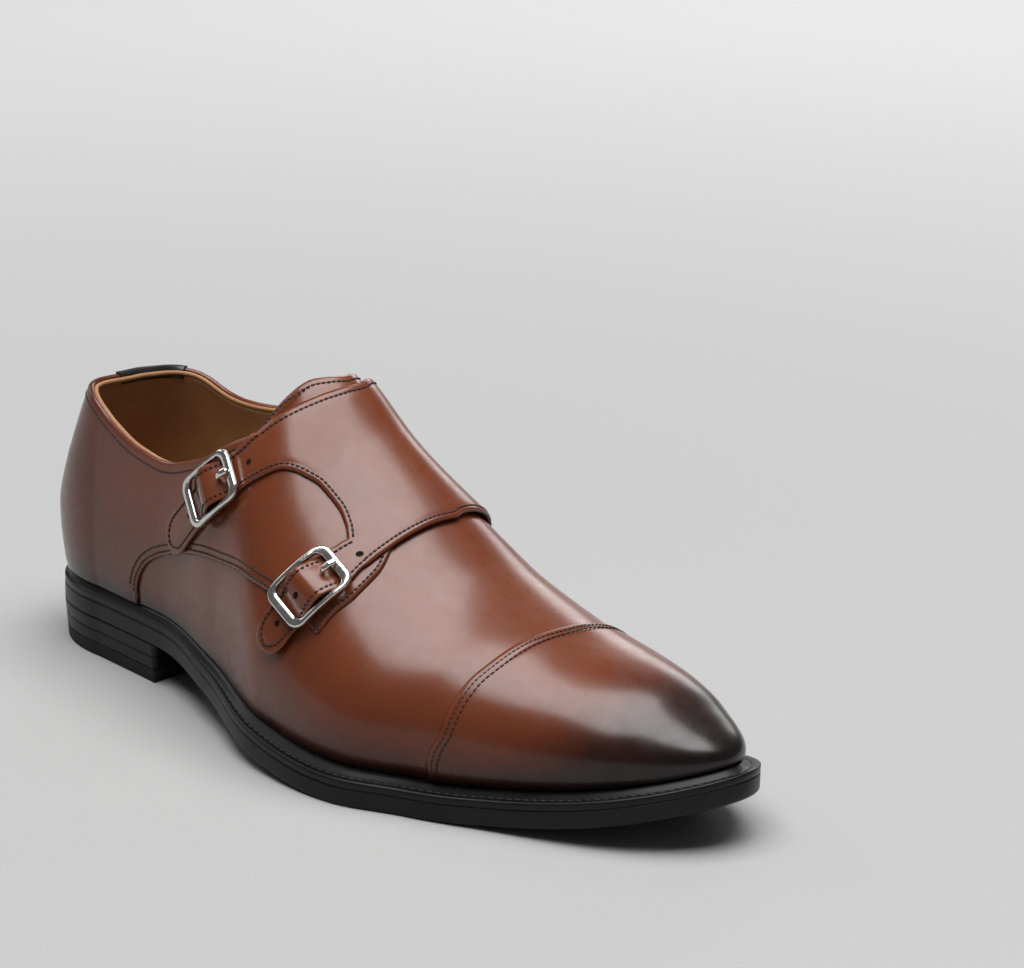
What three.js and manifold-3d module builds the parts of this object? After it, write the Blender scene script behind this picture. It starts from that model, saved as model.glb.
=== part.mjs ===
// A right shoe with two buckled straps over the instep and a plain toe cap, standing empty.
// Millimetres. X runs from the heel to the toe, Y towards the inner (medial) side of the foot
// and Z up from the floor. Stations along the shoe count from the back of the sole, and the
// finished group is moved so that its origin lies under the middle of the shoe.
import * as THREE from "three";
import { mergeVertices } from "three/addons/utils/BufferGeometryUtils.js";
import Module from "manifold-3d";

// ---- Driving dimensions ----

const LENGTH = 305; // outsole, heel to toe
const HEEL_BLOCK = 14.2; // lifts and top piece together
const TOP_PIECE = 5; // rubber top piece
const LIFTS = 2; // leather lifts above it
const SOLE = 6; // outsole
const WELT = 3; // welt at its outer edge
const TOE_SPRING = 16.5; // rise of the sole at the tip
const SPRING_POWER = 2; // how late the rise comes
const BREAST = 72; // front face of the heel
const BALL_BACK = 192; // the tread lies flat between these two stations
const BALL_FRONT = 212;
const WELT_REACH = 9; // how far the welt runs in under the upper
const WALL = 2.4; // upper leather and its lining
const INSOLE = 3;
const TONGUE = 2.2;
const STRAP = 2.3; // strap leather and its backing
const STRAP_WIDTH = 14.2;
const GAP = 0.3; // between pieces that touch
const HEEL_CENTRE = 38; // the back of the shoe is round about this station
const HEEL_ROUND = 2.1; // exponents of the superellipses in plan and in profile
const TOE_LENGTH = 82;
const TOE_ROUND = 1.9;
const TOE_CROWN = 45; // the toe's side profile closes over this length
const TOE_CROWN_ROUND = 2.6;
const TIP_BLEND = 60; // over this length before the tip the ridge moves to the plan's centre
const BACK = { height: 102, swell: 1.8, round: 0.9 }; // profile of the heel's back
const BELLY = 0.22; // share of the height where a section is widest
const LOW = 0.2; // share of a half section that lies below the widest place
const SLANT = Math.PI / 3; // the sides' patterns are drawn on planes that lean by this
const SPLIT = 4; // the side patterns meet along this line over the instep

// The sole's edge in plan: centre and half width of each station, how far the upper stands in
// from the edge, and how far the welt rises inwards to the feather line.
const PLAN = [
  { x: 38, centre: 4, half: 30.5, inset: 2, rise: 3 },
  { x: 75, centre: 3, half: 33.8, inset: 1.5, rise: 3.2 },
  { x: 112, centre: -5, half: 38, inset: 3, rise: 2.9 },
  { x: 150, centre: -11, half: 47.5, inset: 5, rise: 2.7 },
  { x: 190, centre: -6.5, half: 54, inset: 6.5, rise: 2.7 },
  { x: 215, centre: -0.5, half: 50.5, inset: 7, rise: 2.4 },
  { x: 245, centre: 3, half: 44, inset: 6.5, rise: 2.5 },
  { x: 270, centre: 4.5, half: 42, inset: 6, rise: 3 },
  { x: 305, centre: 9, half: 42, inset: 6, rise: 3.3 },
];

// The last's sections: height and sideways place of the ridge, and for the lateral and medial
// side the roundness over the top and the swell of the flank beyond the feather line.
const RIDGE = [
  { x: 38, z: 135, y: 0, roundL: 2, roundM: 2, swellL: 2.5, swellM: 2.5 },
  { x: 75, z: 135, y: 0, roundL: 1.9, roundM: 2, swellL: 2, swellM: 1 },
  { x: 100, z: 131, y: 1, roundL: 1.85, roundM: 2, swellL: 1, swellM: 0 },
  { x: 125, z: 122, y: 3, roundL: 1.8, roundM: 2, swellL: 0.5, swellM: 0 },
  { x: 150, z: 100.5, y: 4.7, roundL: 1.75, roundM: 2, swellL: 2, swellM: 1 },
  { x: 175, z: 82, y: 5.3, roundL: 1.8, roundM: 2.1, swellL: 3, swellM: 2 },
  { x: 200, z: 65, y: 5, roundL: 1.9, roundM: 2.1, swellL: 3.4, swellM: 3 },
  { x: 225, z: 56, y: 5.2, roundL: 2.2, roundM: 2.05, swellL: 3.2, swellM: 3 },
  { x: 250, z: 50.3, y: 7.2, roundL: 2.1, roundM: 2.2, swellL: 2.3, swellM: 2.5 },
  { x: 275, z: 44.8, y: 9.5, roundL: 2.1, roundM: 2.25, swellL: 1.6, swellM: 2 },
  { x: 285, z: 41.3, y: 10.5, roundL: 2.2, roundM: 2.2, swellL: 0.8, swellM: 1.5 },
];

// The edge of the collar, and forward of x = 115 the hidden sides of the throat, seen from the
// side: height on the lateral side, and how much higher the medial side is.
const TOPLINE = [
  { x: -10, z: 98, medial: 0 },
  { x: 14, z: 98, medial: -1 },
  { x: 27, z: 96, medial: -3 },
  { x: 45, z: 87.5, medial: -1 },
  { x: 60, z: 82.8, medial: 3 },
  { x: 75, z: 81.2, medial: 6 },
  { x: 95, z: 86.5, medial: 5 },
  { x: 115, z: 98, medial: 3 },
  { x: 130, z: 104, medial: 2.2 },
  { x: 148, z: 95, medial: 2.2 },
  { x: 166, z: 90, medial: 2.2 },
  { x: 176, z: 90, medial: 2.2 },
];

// Patterns, in x and in height t up the slanted plane of their side.
const STRAP_ROOT = [112, 66];
const LOWER_ROOT = [160.8, 40];
const PANEL_BACK_X = 134.5; // the panel's edges where they cross the ridge
const PANEL_FRONT_X = 179.5;
const OVER_TOP = 130; // higher than the ridge on either side's plane
const PANEL_BACK_L = [[134.5, 104], [134.3, 98], [132, 92.4], [128.5, 87.5], [124, 81.5], [118, 74]];
const CUTOUT = [[121, 54], [127, 60], [134, 64], [141, 64.8], [149, 62.8], [157, 58], [162.5, 51], [164, 44]];
const PANEL_FRONT_L = [[174, 42], [175, 50.5], [176.3, 57.5], [178, 64.5], [179.5, 71]];
const PANEL_BACK_M = [[134.5, 101], [134, 95.5], [131, 91.5], [126.5, 88], [119.5, 82], [109, 72], [99, 64]];
const PANEL_FRONT_M = [[159, 24], [165, 32], [172.5, 43], [177.5, 54], [179.5, 66]];
const TONGUE_TOP = [[112, -30], [119, -20], [125, -8], [128, 4], [126, 12], [119, 20], [112, 27]];

// The straps: where each leaves the panel, its tip, and the buckle's place along it.
const STRAPS = {
  upper: { from: [127.5, 67.5], to: [85.4, 31.4], buckle: 22.5, tip: 5 },
  lower: { from: [172.5, 47.5], to: [155, 8.5], buckle: 17.5, tip: 5 },
};

// The buckle, in its own frame: a along the strap, b across it, c out from the shoe.
const FRAME = { length: 24.6, width: 19.2, corner: 3.8, rail: 1, height: 1.15, lift: 4.7 };
const BAR = { radius: 0.9, lift: 2.7 };
const PRONG = { radius: 0.8, ring: 1.85, bore: 1.15, width: 2.2, hole: 1.9, at: 6.4 };
const HUMP = { rise: 4.6, half: 10 };

// ---- Small tools ----

const wasm = await Module();
wasm.setup();

// A smooth curve through one column of a table. Each slope is the harmonic mean of its two
// neighbouring secants, so the curve never overshoots a row.
function curve(rows, column) {
  const xs = rows.map((row) => row.x);
  const ys = rows.map((row) => row[column]);
  const secants = xs.slice(1).map((x, i) => (ys[i + 1] - ys[i]) / (x - xs[i]));
  const slopes = ys.map((_, i) => {
    const before = secants[Math.max(i - 1, 0)];
    const after = secants[Math.min(i, secants.length - 1)];
    return before * after > 0 ? (2 * before * after) / (before + after) : 0;
  });
  return (place) => {
    const x = THREE.MathUtils.clamp(place, xs[0], xs[xs.length - 1]);
    const i = Math.max(xs.findIndex((end) => x <= end), 1) - 1;
    const width = xs[i + 1] - xs[i];
    const s = (x - xs[i]) / width;
    const bend = s * (1 - s) * width;
    const mean = ys[i] + (ys[i + 1] - ys[i]) * s * s * (3 - 2 * s);
    return mean + bend * ((1 - s) * slopes[i] - s * slopes[i + 1]);
  };
}

// A geometry made a manifold solid with its faces out: doubled points are merged and
// triangles that have shrunk to a line are dropped.
function solid(geometry) {
  const bare = geometry.index ? geometry.toNonIndexed() : geometry;
  bare.deleteAttribute("normal");
  bare.deleteAttribute("uv");
  const merged = mergeVertices(bare, 1e-4);
  const points = merged.attributes.position;
  const corners = [];
  let volume = 0;
  const [p, q, r] = [new THREE.Vector3(), new THREE.Vector3(), new THREE.Vector3()];
  for (let i = 0; i < merged.index.count; i += 3) {
    const [a, b, c] = [0, 1, 2].map((k) => merged.index.getX(i + k));
    if (a === b || b === c || c === a) continue;
    corners.push(a, b, c);
    p.fromBufferAttribute(points, a);
    q.fromBufferAttribute(points, b);
    r.fromBufferAttribute(points, c);
    volume += p.dot(q.cross(r));
  }
  if (volume < 0) {
    for (let i = 0; i < corners.length; i += 3) {
      [corners[i], corners[i + 1]] = [corners[i + 1], corners[i]];
    }
  }
  const mesh = { numProp: 3, vertProperties: points.array, triVerts: new Uint32Array(corners) };
  return new wasm.Manifold(new wasm.Mesh(mesh));
}

// A manifold solid as a three.js geometry.
function geometryOf(made) {
  const { vertProperties, triVerts, numProp } = made.getMesh();
  const positions = [];
  for (let i = 0; i < vertProperties.length; i += numProp) {
    positions.push(vertProperties[i], vertProperties[i + 1], vertProperties[i + 2]);
  }
  const geometry = new THREE.BufferGeometry();
  geometry.setAttribute("position", new THREE.Float32BufferAttribute(positions, 3));
  geometry.setIndex([...triVerts]);
  geometry.computeVertexNormals();
  return geometry;
}

// A closed skin over rings with the same number of points. End rings that haven't shrunk to
// a line or a point are closed with a fan, and a looped loft joins its last ring to its first.
function loft(rings, { capped = false, looped = false } = {}) {
  const positions = [];
  const triangle = (...corners) => corners.forEach((corner) => positions.push(...corner.toArray()));
  const around = rings[0].length;
  const bands = looped ? rings.length : rings.length - 1;
  for (let i = 0; i < bands; i += 1) {
    const [near, far] = [rings[i], rings[(i + 1) % rings.length]];
    for (let j = 0; j < around; j += 1) {
      const k = (j + 1) % around;
      triangle(near[j], far[j], far[k]);
      triangle(near[j], far[k], near[k]);
    }
  }
  if (capped) {
    for (const [ring, turn] of [[rings[0], 1], [rings[rings.length - 1], -1]]) {
      const middle = new THREE.Vector3();
      ring.forEach((point) => middle.addScaledVector(point, 1 / around));
      for (let j = 0; j < around; j += 1) {
        const pair = [ring[j], ring[(j + 1) % around]];
        if (turn < 0) pair.reverse();
        triangle(middle, ...pair);
      }
    }
  }
  const geometry = new THREE.BufferGeometry();
  geometry.setAttribute("position", new THREE.Float32BufferAttribute(positions, 3));
  return solid(geometry);
}

// Numbers from low to high in equal steps, both ends included.
function steps(low, high, count) {
  return Array.from({ length: count + 1 }, (_, i) => low + ((high - low) * i) / count);
}

// ---- The last: the form that every piece is cut from ----

const plan = Object.fromEntries(["centre", "half", "inset", "rise"].map((c) => [c, curve(PLAN, c)]));
const ridge = Object.fromEntries(
  ["z", "y", "roundL", "roundM", "swellL", "swellM"].map((c) => [c, curve(RIDGE, c)]),
);

// Height of the sole's underside: level under the heel, an arch that falls to the flat tread
// as a smooth step, then the toe spring as a power of the distance past the ball.
function tread(x) {
  const fall = THREE.MathUtils.smoothstep(x, BREAST, BALL_BACK);
  const spring = Math.max(0, (x - BALL_FRONT) / (LENGTH - BALL_FRONT));
  return HEEL_BLOCK * (1 - fall) + TOE_SPRING * spring ** SPRING_POWER;
}

function feather(x) {
  return tread(x) + SOLE + WELT + plan.rise(x);
}

// Stations from the back of the heel to the tip: angles round the heel, distances along the
// middle, and angles round the toe.
const STATIONS = [
  ...steps(0, 1, 8).map((s) => ({ heel: (s * Math.PI) / 2 })),
  ...steps(45, 185, 18).map((x) => ({ x })),
  ...steps(192, 212, 3).map((x) => ({ x })),
  ...steps(0, 1, 13).map((s) => ({ toe: (s * Math.PI) / 2 })),
];

// A station's distance from the back, and its width as a share of the full width there.
function along(station, back, tip) {
  if ("heel" in station) {
    const reach = Math.cos(station.heel) ** (2 / HEEL_ROUND);
    const share = Math.sin(station.heel) ** (2 / HEEL_ROUND);
    return { x: HEEL_CENTRE - (HEEL_CENTRE - back) * reach, share };
  }
  if ("toe" in station) {
    const reach = Math.sin(station.toe) ** (2 / TOE_ROUND);
    return { x: tip - TOE_LENGTH * (1 - reach), share: Math.cos(station.toe) ** (2 / TOE_ROUND) };
  }
  return { x: station.x, share: 1 };
}

// A point of the plan outline that lies inside the sole's edge by `inset` times the table's
// inset and by `more` millimetres.
function outline(station, side, inset, more) {
  const back = inset * plan.inset(0) + more;
  const tip = LENGTH - inset * plan.inset(LENGTH) - more;
  const { x, share } = along(station, back, tip);
  const half = plan.half(x) - inset * plan.inset(x) - more;
  return new THREE.Vector3(x, plan.centre(x) + side * half * share, 0);
}

// One half section as [out, up], from the feather line (v = 0) to the ridge (v = 1): it swells
// out up to the belly, then closes over the top as a quarter of a superellipse.
function halfSection(v, height, reach, swell, round) {
  const belly = BELLY * height;
  if (v <= LOW) return [reach + swell - swell * (1 - v / LOW) ** 2, (belly * v) / LOW];
  const turn = (((v - LOW) / (1 - LOW)) * Math.PI) / 2;
  const out = (reach + swell) * Math.max(Math.cos(turn), 0) ** (2 / round);
  return [out, belly + (height - belly) * Math.sin(turn) ** (2 / round)];
}

// A point on the last, grown outwards by `grow`. Side is -1 for lateral and +1 for medial.
function onLast(station, side, v, grow) {
  const back = plan.inset(0) - grow;
  const tip = LENGTH - plan.inset(LENGTH) + grow;
  const { x, share } = along(station, back, tip);
  const at = "heel" in station ? HEEL_CENTRE : x;
  const across = "heel" in station ? 1 : share;
  const crownAt = THREE.MathUtils.clamp((at - tip + TOE_CROWN) / TOE_CROWN, 0, 1);
  const crown = (1 - crownAt ** TOE_CROWN_ROUND) ** (1 / TOE_CROWN_ROUND);
  const toTip = THREE.MathUtils.clamp((at - tip + TIP_BLEND) / TIP_BLEND, 0, 1) ** 2;
  const middle = ridge.y(at) * (1 - toTip) + plan.centre(at) * toTip;
  const half = (plan.half(at) - plan.inset(at) + grow) * across;
  const reach = Math.abs(plan.centre(at) + side * half - middle);
  const swell = (side < 0 ? ridge.swellL(at) : ridge.swellM(at)) * crown;
  const round = side < 0 ? ridge.roundL(at) : ridge.roundM(at);
  const height = (ridge.z(at) - feather(at) + grow) * crown;
  const [out, up] = halfSection(v, height, reach, swell, round);
  if (!("heel" in station)) return new THREE.Vector3(at, middle + side * out, feather(at) + up);
  const [backOut, backUp] = halfSection(v, BACK.height + grow, HEEL_CENTRE - back, BACK.swell, BACK.round);
  const turnBack = Math.cos(station.heel) ** 2;
  const spine = plan.centre(at) * (1 - v) + middle * v;
  return new THREE.Vector3(
    HEEL_CENTRE - backOut * Math.cos(station.heel) ** (2 / HEEL_ROUND),
    spine + (middle + side * out - spine) * share,
    feather(back) * turnBack + feather(at) * (1 - turnBack) + backUp * turnBack + up * (1 - turnBack),
  );
}

// Levels of a half section: closer where it turns over the top.
const LEVELS = [0, 0.1, 0.2, 0.3, 0.39, 0.48, 0.57, 0.66, 0.75, 0.83, 0.91, 1];

// The whole last as a solid. With a drop, it reaches that far below the feather line, and with
// a lift it starts that far above it.
function last(grow, drop, lift = 0) {
  const foot = new THREE.Vector3(0, 0, lift);
  return loft(
    STATIONS.map((station) => {
      const ring = [];
      for (const side of [-1, 1]) {
        const wall = LEVELS.map((v) => onLast(station, side, v, grow).addScaledVector(foot, 1 - v));
        if (drop > 0) wall.unshift(wall[0].clone().setZ(wall[0].z - drop));
        ring.push(...(side < 0 ? wall : wall.reverse()));
      }
      return ring;
    }),
  );
}

// The slanted plane of a side: t climbs it, and the prism of a pattern stands square to it.
function slanted(side) {
  const climb = new THREE.Vector3(0, -side * Math.cos(SLANT), Math.sin(SLANT));
  const outward = new THREE.Vector3(0, side * Math.sin(SLANT), Math.cos(SLANT));
  return { climb, outward, right: new THREE.Vector3(-side, 0, 0) };
}

// The solid that stands on a closed pattern of x and t, on the outer half of one side.
const PRISM_START = 20;
const PRISM_DEPTH = 90;
const HALF_SPACE = 400;

function prism(side, draw) {
  const { climb, outward, right } = slanted(side);
  const shape = new THREE.Shape();
  draw(shape, (point) => new THREE.Vector2(-side * point[0], point[1]));
  const geometry = new THREE.ExtrudeGeometry(shape, {
    depth: PRISM_DEPTH,
    bevelEnabled: false,
    curveSegments: 3,
  });
  geometry.applyMatrix4(new THREE.Matrix4().makeBasis(right, climb, outward));
  geometry.translate(...outward.clone().multiplyScalar(PRISM_START).toArray());
  const half = new THREE.BoxGeometry(HALF_SPACE * 2, HALF_SPACE, HALF_SPACE * 2);
  half.translate(0, SPLIT + (side * HALF_SPACE) / 2, 0);
  return solid(geometry).intersect(solid(half));
}

// The point of one side's surface over (x, t), found by halving, as its height climbs with v.
function onSide(side, x, t, grow) {
  const { climb } = slanted(side);
  let [low, high] = [0, 1];
  for (let i = 0; i < 40; i += 1) {
    const v = (low + high) / 2;
    if (onLast({ x }, side, v, grow).dot(climb) < t) low = v;
    else high = v;
  }
  return onLast({ x }, side, low, grow);
}

// The outward normal there, from two short chords of the surface.
function normalAt(side, x, t) {
  const reach = 1;
  const forward = onSide(side, x + reach, t, 0).sub(onSide(side, x - reach, t, 0));
  const upward = onSide(side, x, t + reach, 0).sub(onSide(side, x, t - reach, 0));
  return forward.cross(upward).multiplyScalar(-side).normalize();
}

// ---- Materials ----

function leather(name, color, roughness) {
  return new THREE.MeshStandardMaterial({ name, color, roughness, metalness: 0 });
}

const brown = leather("brown_leather", 0x5e3220, 0.35);
const tan = leather("tan_leather", 0x9c7350, 0.6);
const black = leather("black_edge", 0x1b1a19, 0.4);
const rubber = leather("rubber", 0x161616, 0.8);
const steel = new THREE.MeshStandardMaterial({
  name: "steel",
  color: 0xd5d3cf,
  roughness: 0.12,
  metalness: 1,
});

const shoe = new THREE.Group();

function add(name, made, material) {
  const mesh = new THREE.Mesh(geometryOf(made), material);
  mesh.name = name;
  shoe.add(mesh);
}

// ---- Sole ----

// A plate whose edge follows the outline, between two heights that depend on the station.
const EDGE_ROUND = 0.8; // the plate's corners are broken by this much

function plate(inset, more, bottom, top) {
  return loft(
    STATIONS.map((station) => {
      const ring = [];
      for (const side of [-1, 1]) {
        const edge = outline(station, side, inset, more);
        const inner = outline(station, side, inset, more + EDGE_ROUND);
        const low = bottom(edge.x);
        const high = top(edge.x);
        const corners = [
          new THREE.Vector3(edge.x, inner.y, low),
          new THREE.Vector3(edge.x, edge.y, low + EDGE_ROUND),
          new THREE.Vector3(edge.x, edge.y, high - EDGE_ROUND),
          new THREE.Vector3(edge.x, inner.y, high),
        ];
        ring.push(...(side < 0 ? corners : corners.reverse()));
      }
      return ring;
    }),
  );
}

add("outsole", plate(0, 0, tread, (x) => tread(x) + SOLE), black);

// The welt is a closed band: flat below, low at the sole's edge, and rising to the feather
// line, from which it runs in level under the upper.
function weltSection(station, side) {
  const edge = outline(station, side, 0, 0);
  const leatherEdge = outline(station, side, 1, 0);
  const inner = outline(station, side, 1, WELT_REACH);
  const base = (point) => tread(point.x) + SOLE + GAP;
  const crest = (point) => feather(point.x);
  return [
    edge.clone().setZ(base(edge)),
    edge.clone().setZ(tread(edge.x) + SOLE + WELT),
    leatherEdge.clone().setZ(crest(leatherEdge)),
    inner.clone().setZ(crest(inner)),
    inner.clone().setZ(base(inner)),
  ];
}

const weltRings = [
  ...STATIONS.slice(1, -1).map((station) => weltSection(station, -1)),
  weltSection(STATIONS[STATIONS.length - 1], -1),
  ...STATIONS.slice(1, -1).reverse().map((station) => weltSection(station, 1)),
  weltSection(STATIONS[0], 1),
];
add("welt", loft(weltRings, { looped: true }), black);

// The heel: the sole's outline from the breast round the back, cut straight at the breast.
function heelRing(z, taper) {
  const ring = [];
  for (const side of [-1, 1]) {
    const curveOf = [...steps(0, 1, 8).map((s) => ({ heel: (s * Math.PI) / 2 })), { x: 55 }, { x: BREAST }];
    const edge = curveOf.map((station) => outline(station, side, 0, taper).setZ(z));
    edge[edge.length - 1].x -= taper;
    ring.push(...(side < 0 ? edge.reverse() : edge.slice(1)));
  }
  return ring;
}

const HEEL_TAPER = 1.2; // the heel narrows by this much down to the floor
const liftHeight = (HEEL_BLOCK - TOP_PIECE - GAP * (LIFTS + 1)) / LIFTS;

function heelSlice(low, high) {
  const taper = (z) => HEEL_TAPER * (1 - z / HEEL_BLOCK);
  return loft([heelRing(low, taper(low)), heelRing(high, taper(high))], { capped: true });
}

add("heel_top_piece", heelSlice(0, TOP_PIECE), rubber);
for (let i = 0; i < LIFTS; i += 1) {
  const low = TOP_PIECE + GAP + i * (liftHeight + GAP);
  add(`heel_lift_${i + 1}`, heelSlice(low, low + liftHeight), black);
}

// ---- Insole ----

const DROP = 20; // how far cutting forms reach below the feather line
const insoleBase = (x) => feather(x) + GAP;
const insole = plate(1, WALL + GAP, insoleBase, (x) => insoleBase(x) + INSOLE);
add("insole", insole.intersect(last(-WALL - GAP, DROP)), tan);

// ---- Upper: one hollow shell over the last, open below, at the collar and at the throat ----

// Everything above the topline on one side, as a prism across the shoe.
function aboveTopline(side) {
  const shape = new THREE.Shape();
  const edge = TOPLINE.map(({ x, z, medial }) => new THREE.Vector2(x, side > 0 ? z + medial : z));
  const high = 200; // above every piece
  shape.moveTo(edge[0].x, edge[0].y);
  shape.splineThru(edge.slice(1));
  shape.lineTo(edge[edge.length - 1].x, high);
  shape.lineTo(edge[0].x, high);
  const depth = 80; // past either flank
  const overlap = 0.5; // the two sides' prisms join
  const geometry = new THREE.ExtrudeGeometry(shape, { depth, bevelEnabled: false, curveSegments: 3 });
  geometry.rotateX(Math.PI / 2);
  geometry.translate(0, side > 0 ? SPLIT + depth - overlap : SPLIT + overlap, 0);
  return solid(geometry);
}

const topline = aboveTopline(-1).add(aboveTopline(1));
const shell = last(0, 0, GAP).subtract(last(-WALL, DROP)).subtract(topline);
add("upper", shell, brown);

// ---- Tongue: the vamp's own leather, carried on under the straps inside the upper ----

function tongueCutter() {
  const shape = new THREE.Shape();
  const front = { x: 186, half: 24 };
  shape.moveTo(...TONGUE_TOP[0]);
  shape.splineThru(TONGUE_TOP.slice(1).map((point) => new THREE.Vector2(...point)));
  shape.lineTo(front.x, SPLIT + front.half);
  shape.lineTo(front.x, SPLIT - front.half);
  const geometry = new THREE.ExtrudeGeometry(shape, { depth: 120, bevelEnabled: false, curveSegments: 3 });
  geometry.translate(0, 0, 40);
  return solid(geometry);
}

const tongueOuter = -(WALL + GAP);
const tongueSkin = last(tongueOuter, 0).subtract(last(tongueOuter - TONGUE, DROP));
add("tongue", tongueSkin.intersect(tongueCutter()), brown);

// ---- Strap panel: the medial wing that crosses the instep and ends in two straps ----

const panelLateral = prism(-1, (shape, map) => {
  const start = map(PANEL_BACK_L[0]);
  shape.moveTo(start.x, start.y);
  shape.splineThru(PANEL_BACK_L.slice(1).map(map));
  const root = map(STRAP_ROOT);
  shape.lineTo(root.x, root.y);
  const corner = map(CUTOUT[0]);
  shape.lineTo(corner.x, corner.y);
  shape.splineThru(CUTOUT.slice(1).map(map));
  const lower = map(LOWER_ROOT);
  shape.lineTo(lower.x, lower.y);
  const edge = map(PANEL_FRONT_L[0]);
  shape.lineTo(edge.x, edge.y);
  shape.splineThru(PANEL_FRONT_L.slice(1).map(map));
  const over = map([PANEL_FRONT_X, OVER_TOP]);
  shape.lineTo(over.x, over.y);
  const far = map([PANEL_BACK_X, OVER_TOP]);
  shape.lineTo(far.x, far.y);
});

const panelMedial = prism(1, (shape, map) => {
  const start = map(PANEL_BACK_M[0]);
  shape.moveTo(start.x, start.y);
  shape.splineThru(PANEL_BACK_M.slice(1).map(map));
  const corner = map(PANEL_FRONT_M[0]);
  shape.lineTo(corner.x, corner.y);
  shape.splineThru(PANEL_FRONT_M.slice(1).map(map));
  const over = map([PANEL_FRONT_X, OVER_TOP]);
  shape.lineTo(over.x, over.y);
  const far = map([PANEL_BACK_X, OVER_TOP]);
  shape.lineTo(far.x, far.y);
});

const panelSkin = last(GAP + STRAP, 0).subtract(last(GAP, DROP));
let panel = panelSkin.intersect(panelLateral).add(panelSkin.intersect(panelMedial));

// A strap's place on the lateral side: distance s from its root and q across, as x and t.
function strapLine({ from, to }) {
  const root = new THREE.Vector2(...from);
  const run = new THREE.Vector2(...to).sub(root);
  const length = run.length();
  run.normalize();
  const across = new THREE.Vector2(-run.y, run.x);
  return { length, at: (s, q) => root.clone().addScaledVector(run, s).addScaledVector(across, q) };
}

// The strap rises over the buckle's centre bar as a raised cosine.
function humpAt(s, centre) {
  const share = Math.abs(s - centre) / HUMP.half;
  return share < 1 ? (HUMP.rise * (1 + Math.cos(Math.PI * share))) / 2 : 0;
}

// A strap as a closed strip: eight points round each section, with a round-cornered tip.
function strapStrip(strap) {
  const { length, at } = strapLine(strap);
  const count = 26;
  const shoulders = [-1, -0.35, 0.35, 1];
  const tipRound = 2.6; // exponent of the tip's outline
  const blunt = 0.02; // the tip's last ring keeps this much of its width
  const rootInset = 0.15; // the root starts inside the panel's thickness
  const rootRun = 6;
  const rings = steps(0, 1, count).map((share) => {
    const s = length * share ** 0.9;
    const end = Math.max(0, (s - length + strap.tip) / strap.tip);
    const half = (STRAP_WIDTH / 2) * Math.max(1 - end ** tipRound, blunt) ** (1 / tipRound);
    const root = rootInset * Math.max(0, 1 - s / rootRun);
    const level = (q, lift) => {
      const place = at(s, q * half);
      const out = GAP + humpAt(s, strap.buckle) + lift;
      return onSide(-1, place.x, place.y, 0).addScaledVector(normalAt(-1, place.x, place.y), out);
    };
    const low = shoulders.map((q) => level(q, root));
    const high = shoulders.map((q) => level(q, STRAP - root)).reverse();
    return [...low, ...high];
  });
  return loft(rings, { capped: true });
}

// The buckle's own frame on the shoe: its place and its a, b and c directions.
function buckleFrame(strap) {
  const { at } = strapLine(strap);
  const point = (s) => {
    const place = at(s, 0);
    return onSide(-1, place.x, place.y, 0);
  };
  const span = FRAME.length / 2 - FRAME.rail;
  const here = at(strap.buckle, 0);
  const out = normalAt(-1, here.x, here.y);
  const origin = point(strap.buckle);
  const run = point(strap.buckle - span).sub(point(strap.buckle + span));
  const a = run.addScaledVector(out, -run.dot(out)).normalize();
  const b = out.clone().cross(a);
  const fall = [span, -span].map((step) => origin.clone().sub(point(strap.buckle + step)).dot(out));
  const bend = (fall[0] + fall[1]) / 2 / span ** 2;
  return { matrix: new THREE.Matrix4().makeBasis(a, b, out).setPosition(origin), bend };
}

// Points round the rounded rectangle of the frame's middle line.
function frameLine(bend) {
  const long = FRAME.length / 2 - FRAME.rail;
  const wide = FRAME.width / 2 - FRAME.rail;
  const points = [];
  const quarter = 5;
  const signs = [[1, 1], [-1, 1], [-1, -1], [1, -1]];
  signs.forEach(([sa, sb], corner) => {
    for (const share of steps(0, 1, quarter)) {
      const turn = ((corner + share) * Math.PI) / 2;
      const a = sa * (long - FRAME.corner) + FRAME.corner * Math.cos(turn);
      const b = sb * (wide - FRAME.corner) + FRAME.corner * Math.sin(turn);
      points.push(new THREE.Vector3(a, b, 0));
    }
    const isLongSide = corner % 2 === 0;
    if (isLongSide) {
      for (const share of steps(0, 1, 6).slice(1, -1)) {
        const a = sa * (long - FRAME.corner) * (1 - 2 * share);
        points.push(new THREE.Vector3(a, sb * wide, 0));
      }
    }
  });
  points.forEach((point) => point.setZ(FRAME.lift - bend * point.x ** 2));
  return points;
}

// A soft-cornered section of eight points, `across` wide and `up` high from its middle. Its
// corners stand out a little, so that its flats lie at those distances.
const FULL = 1.06;

function railSection(across, up) {
  return steps(0, 1, 8).slice(0, -1).map((share) => {
    const turn = (share + 1 / 16) * 2 * Math.PI;
    return [across * Math.cos(turn) * FULL, up * Math.sin(turn) * FULL];
  });
}

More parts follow.
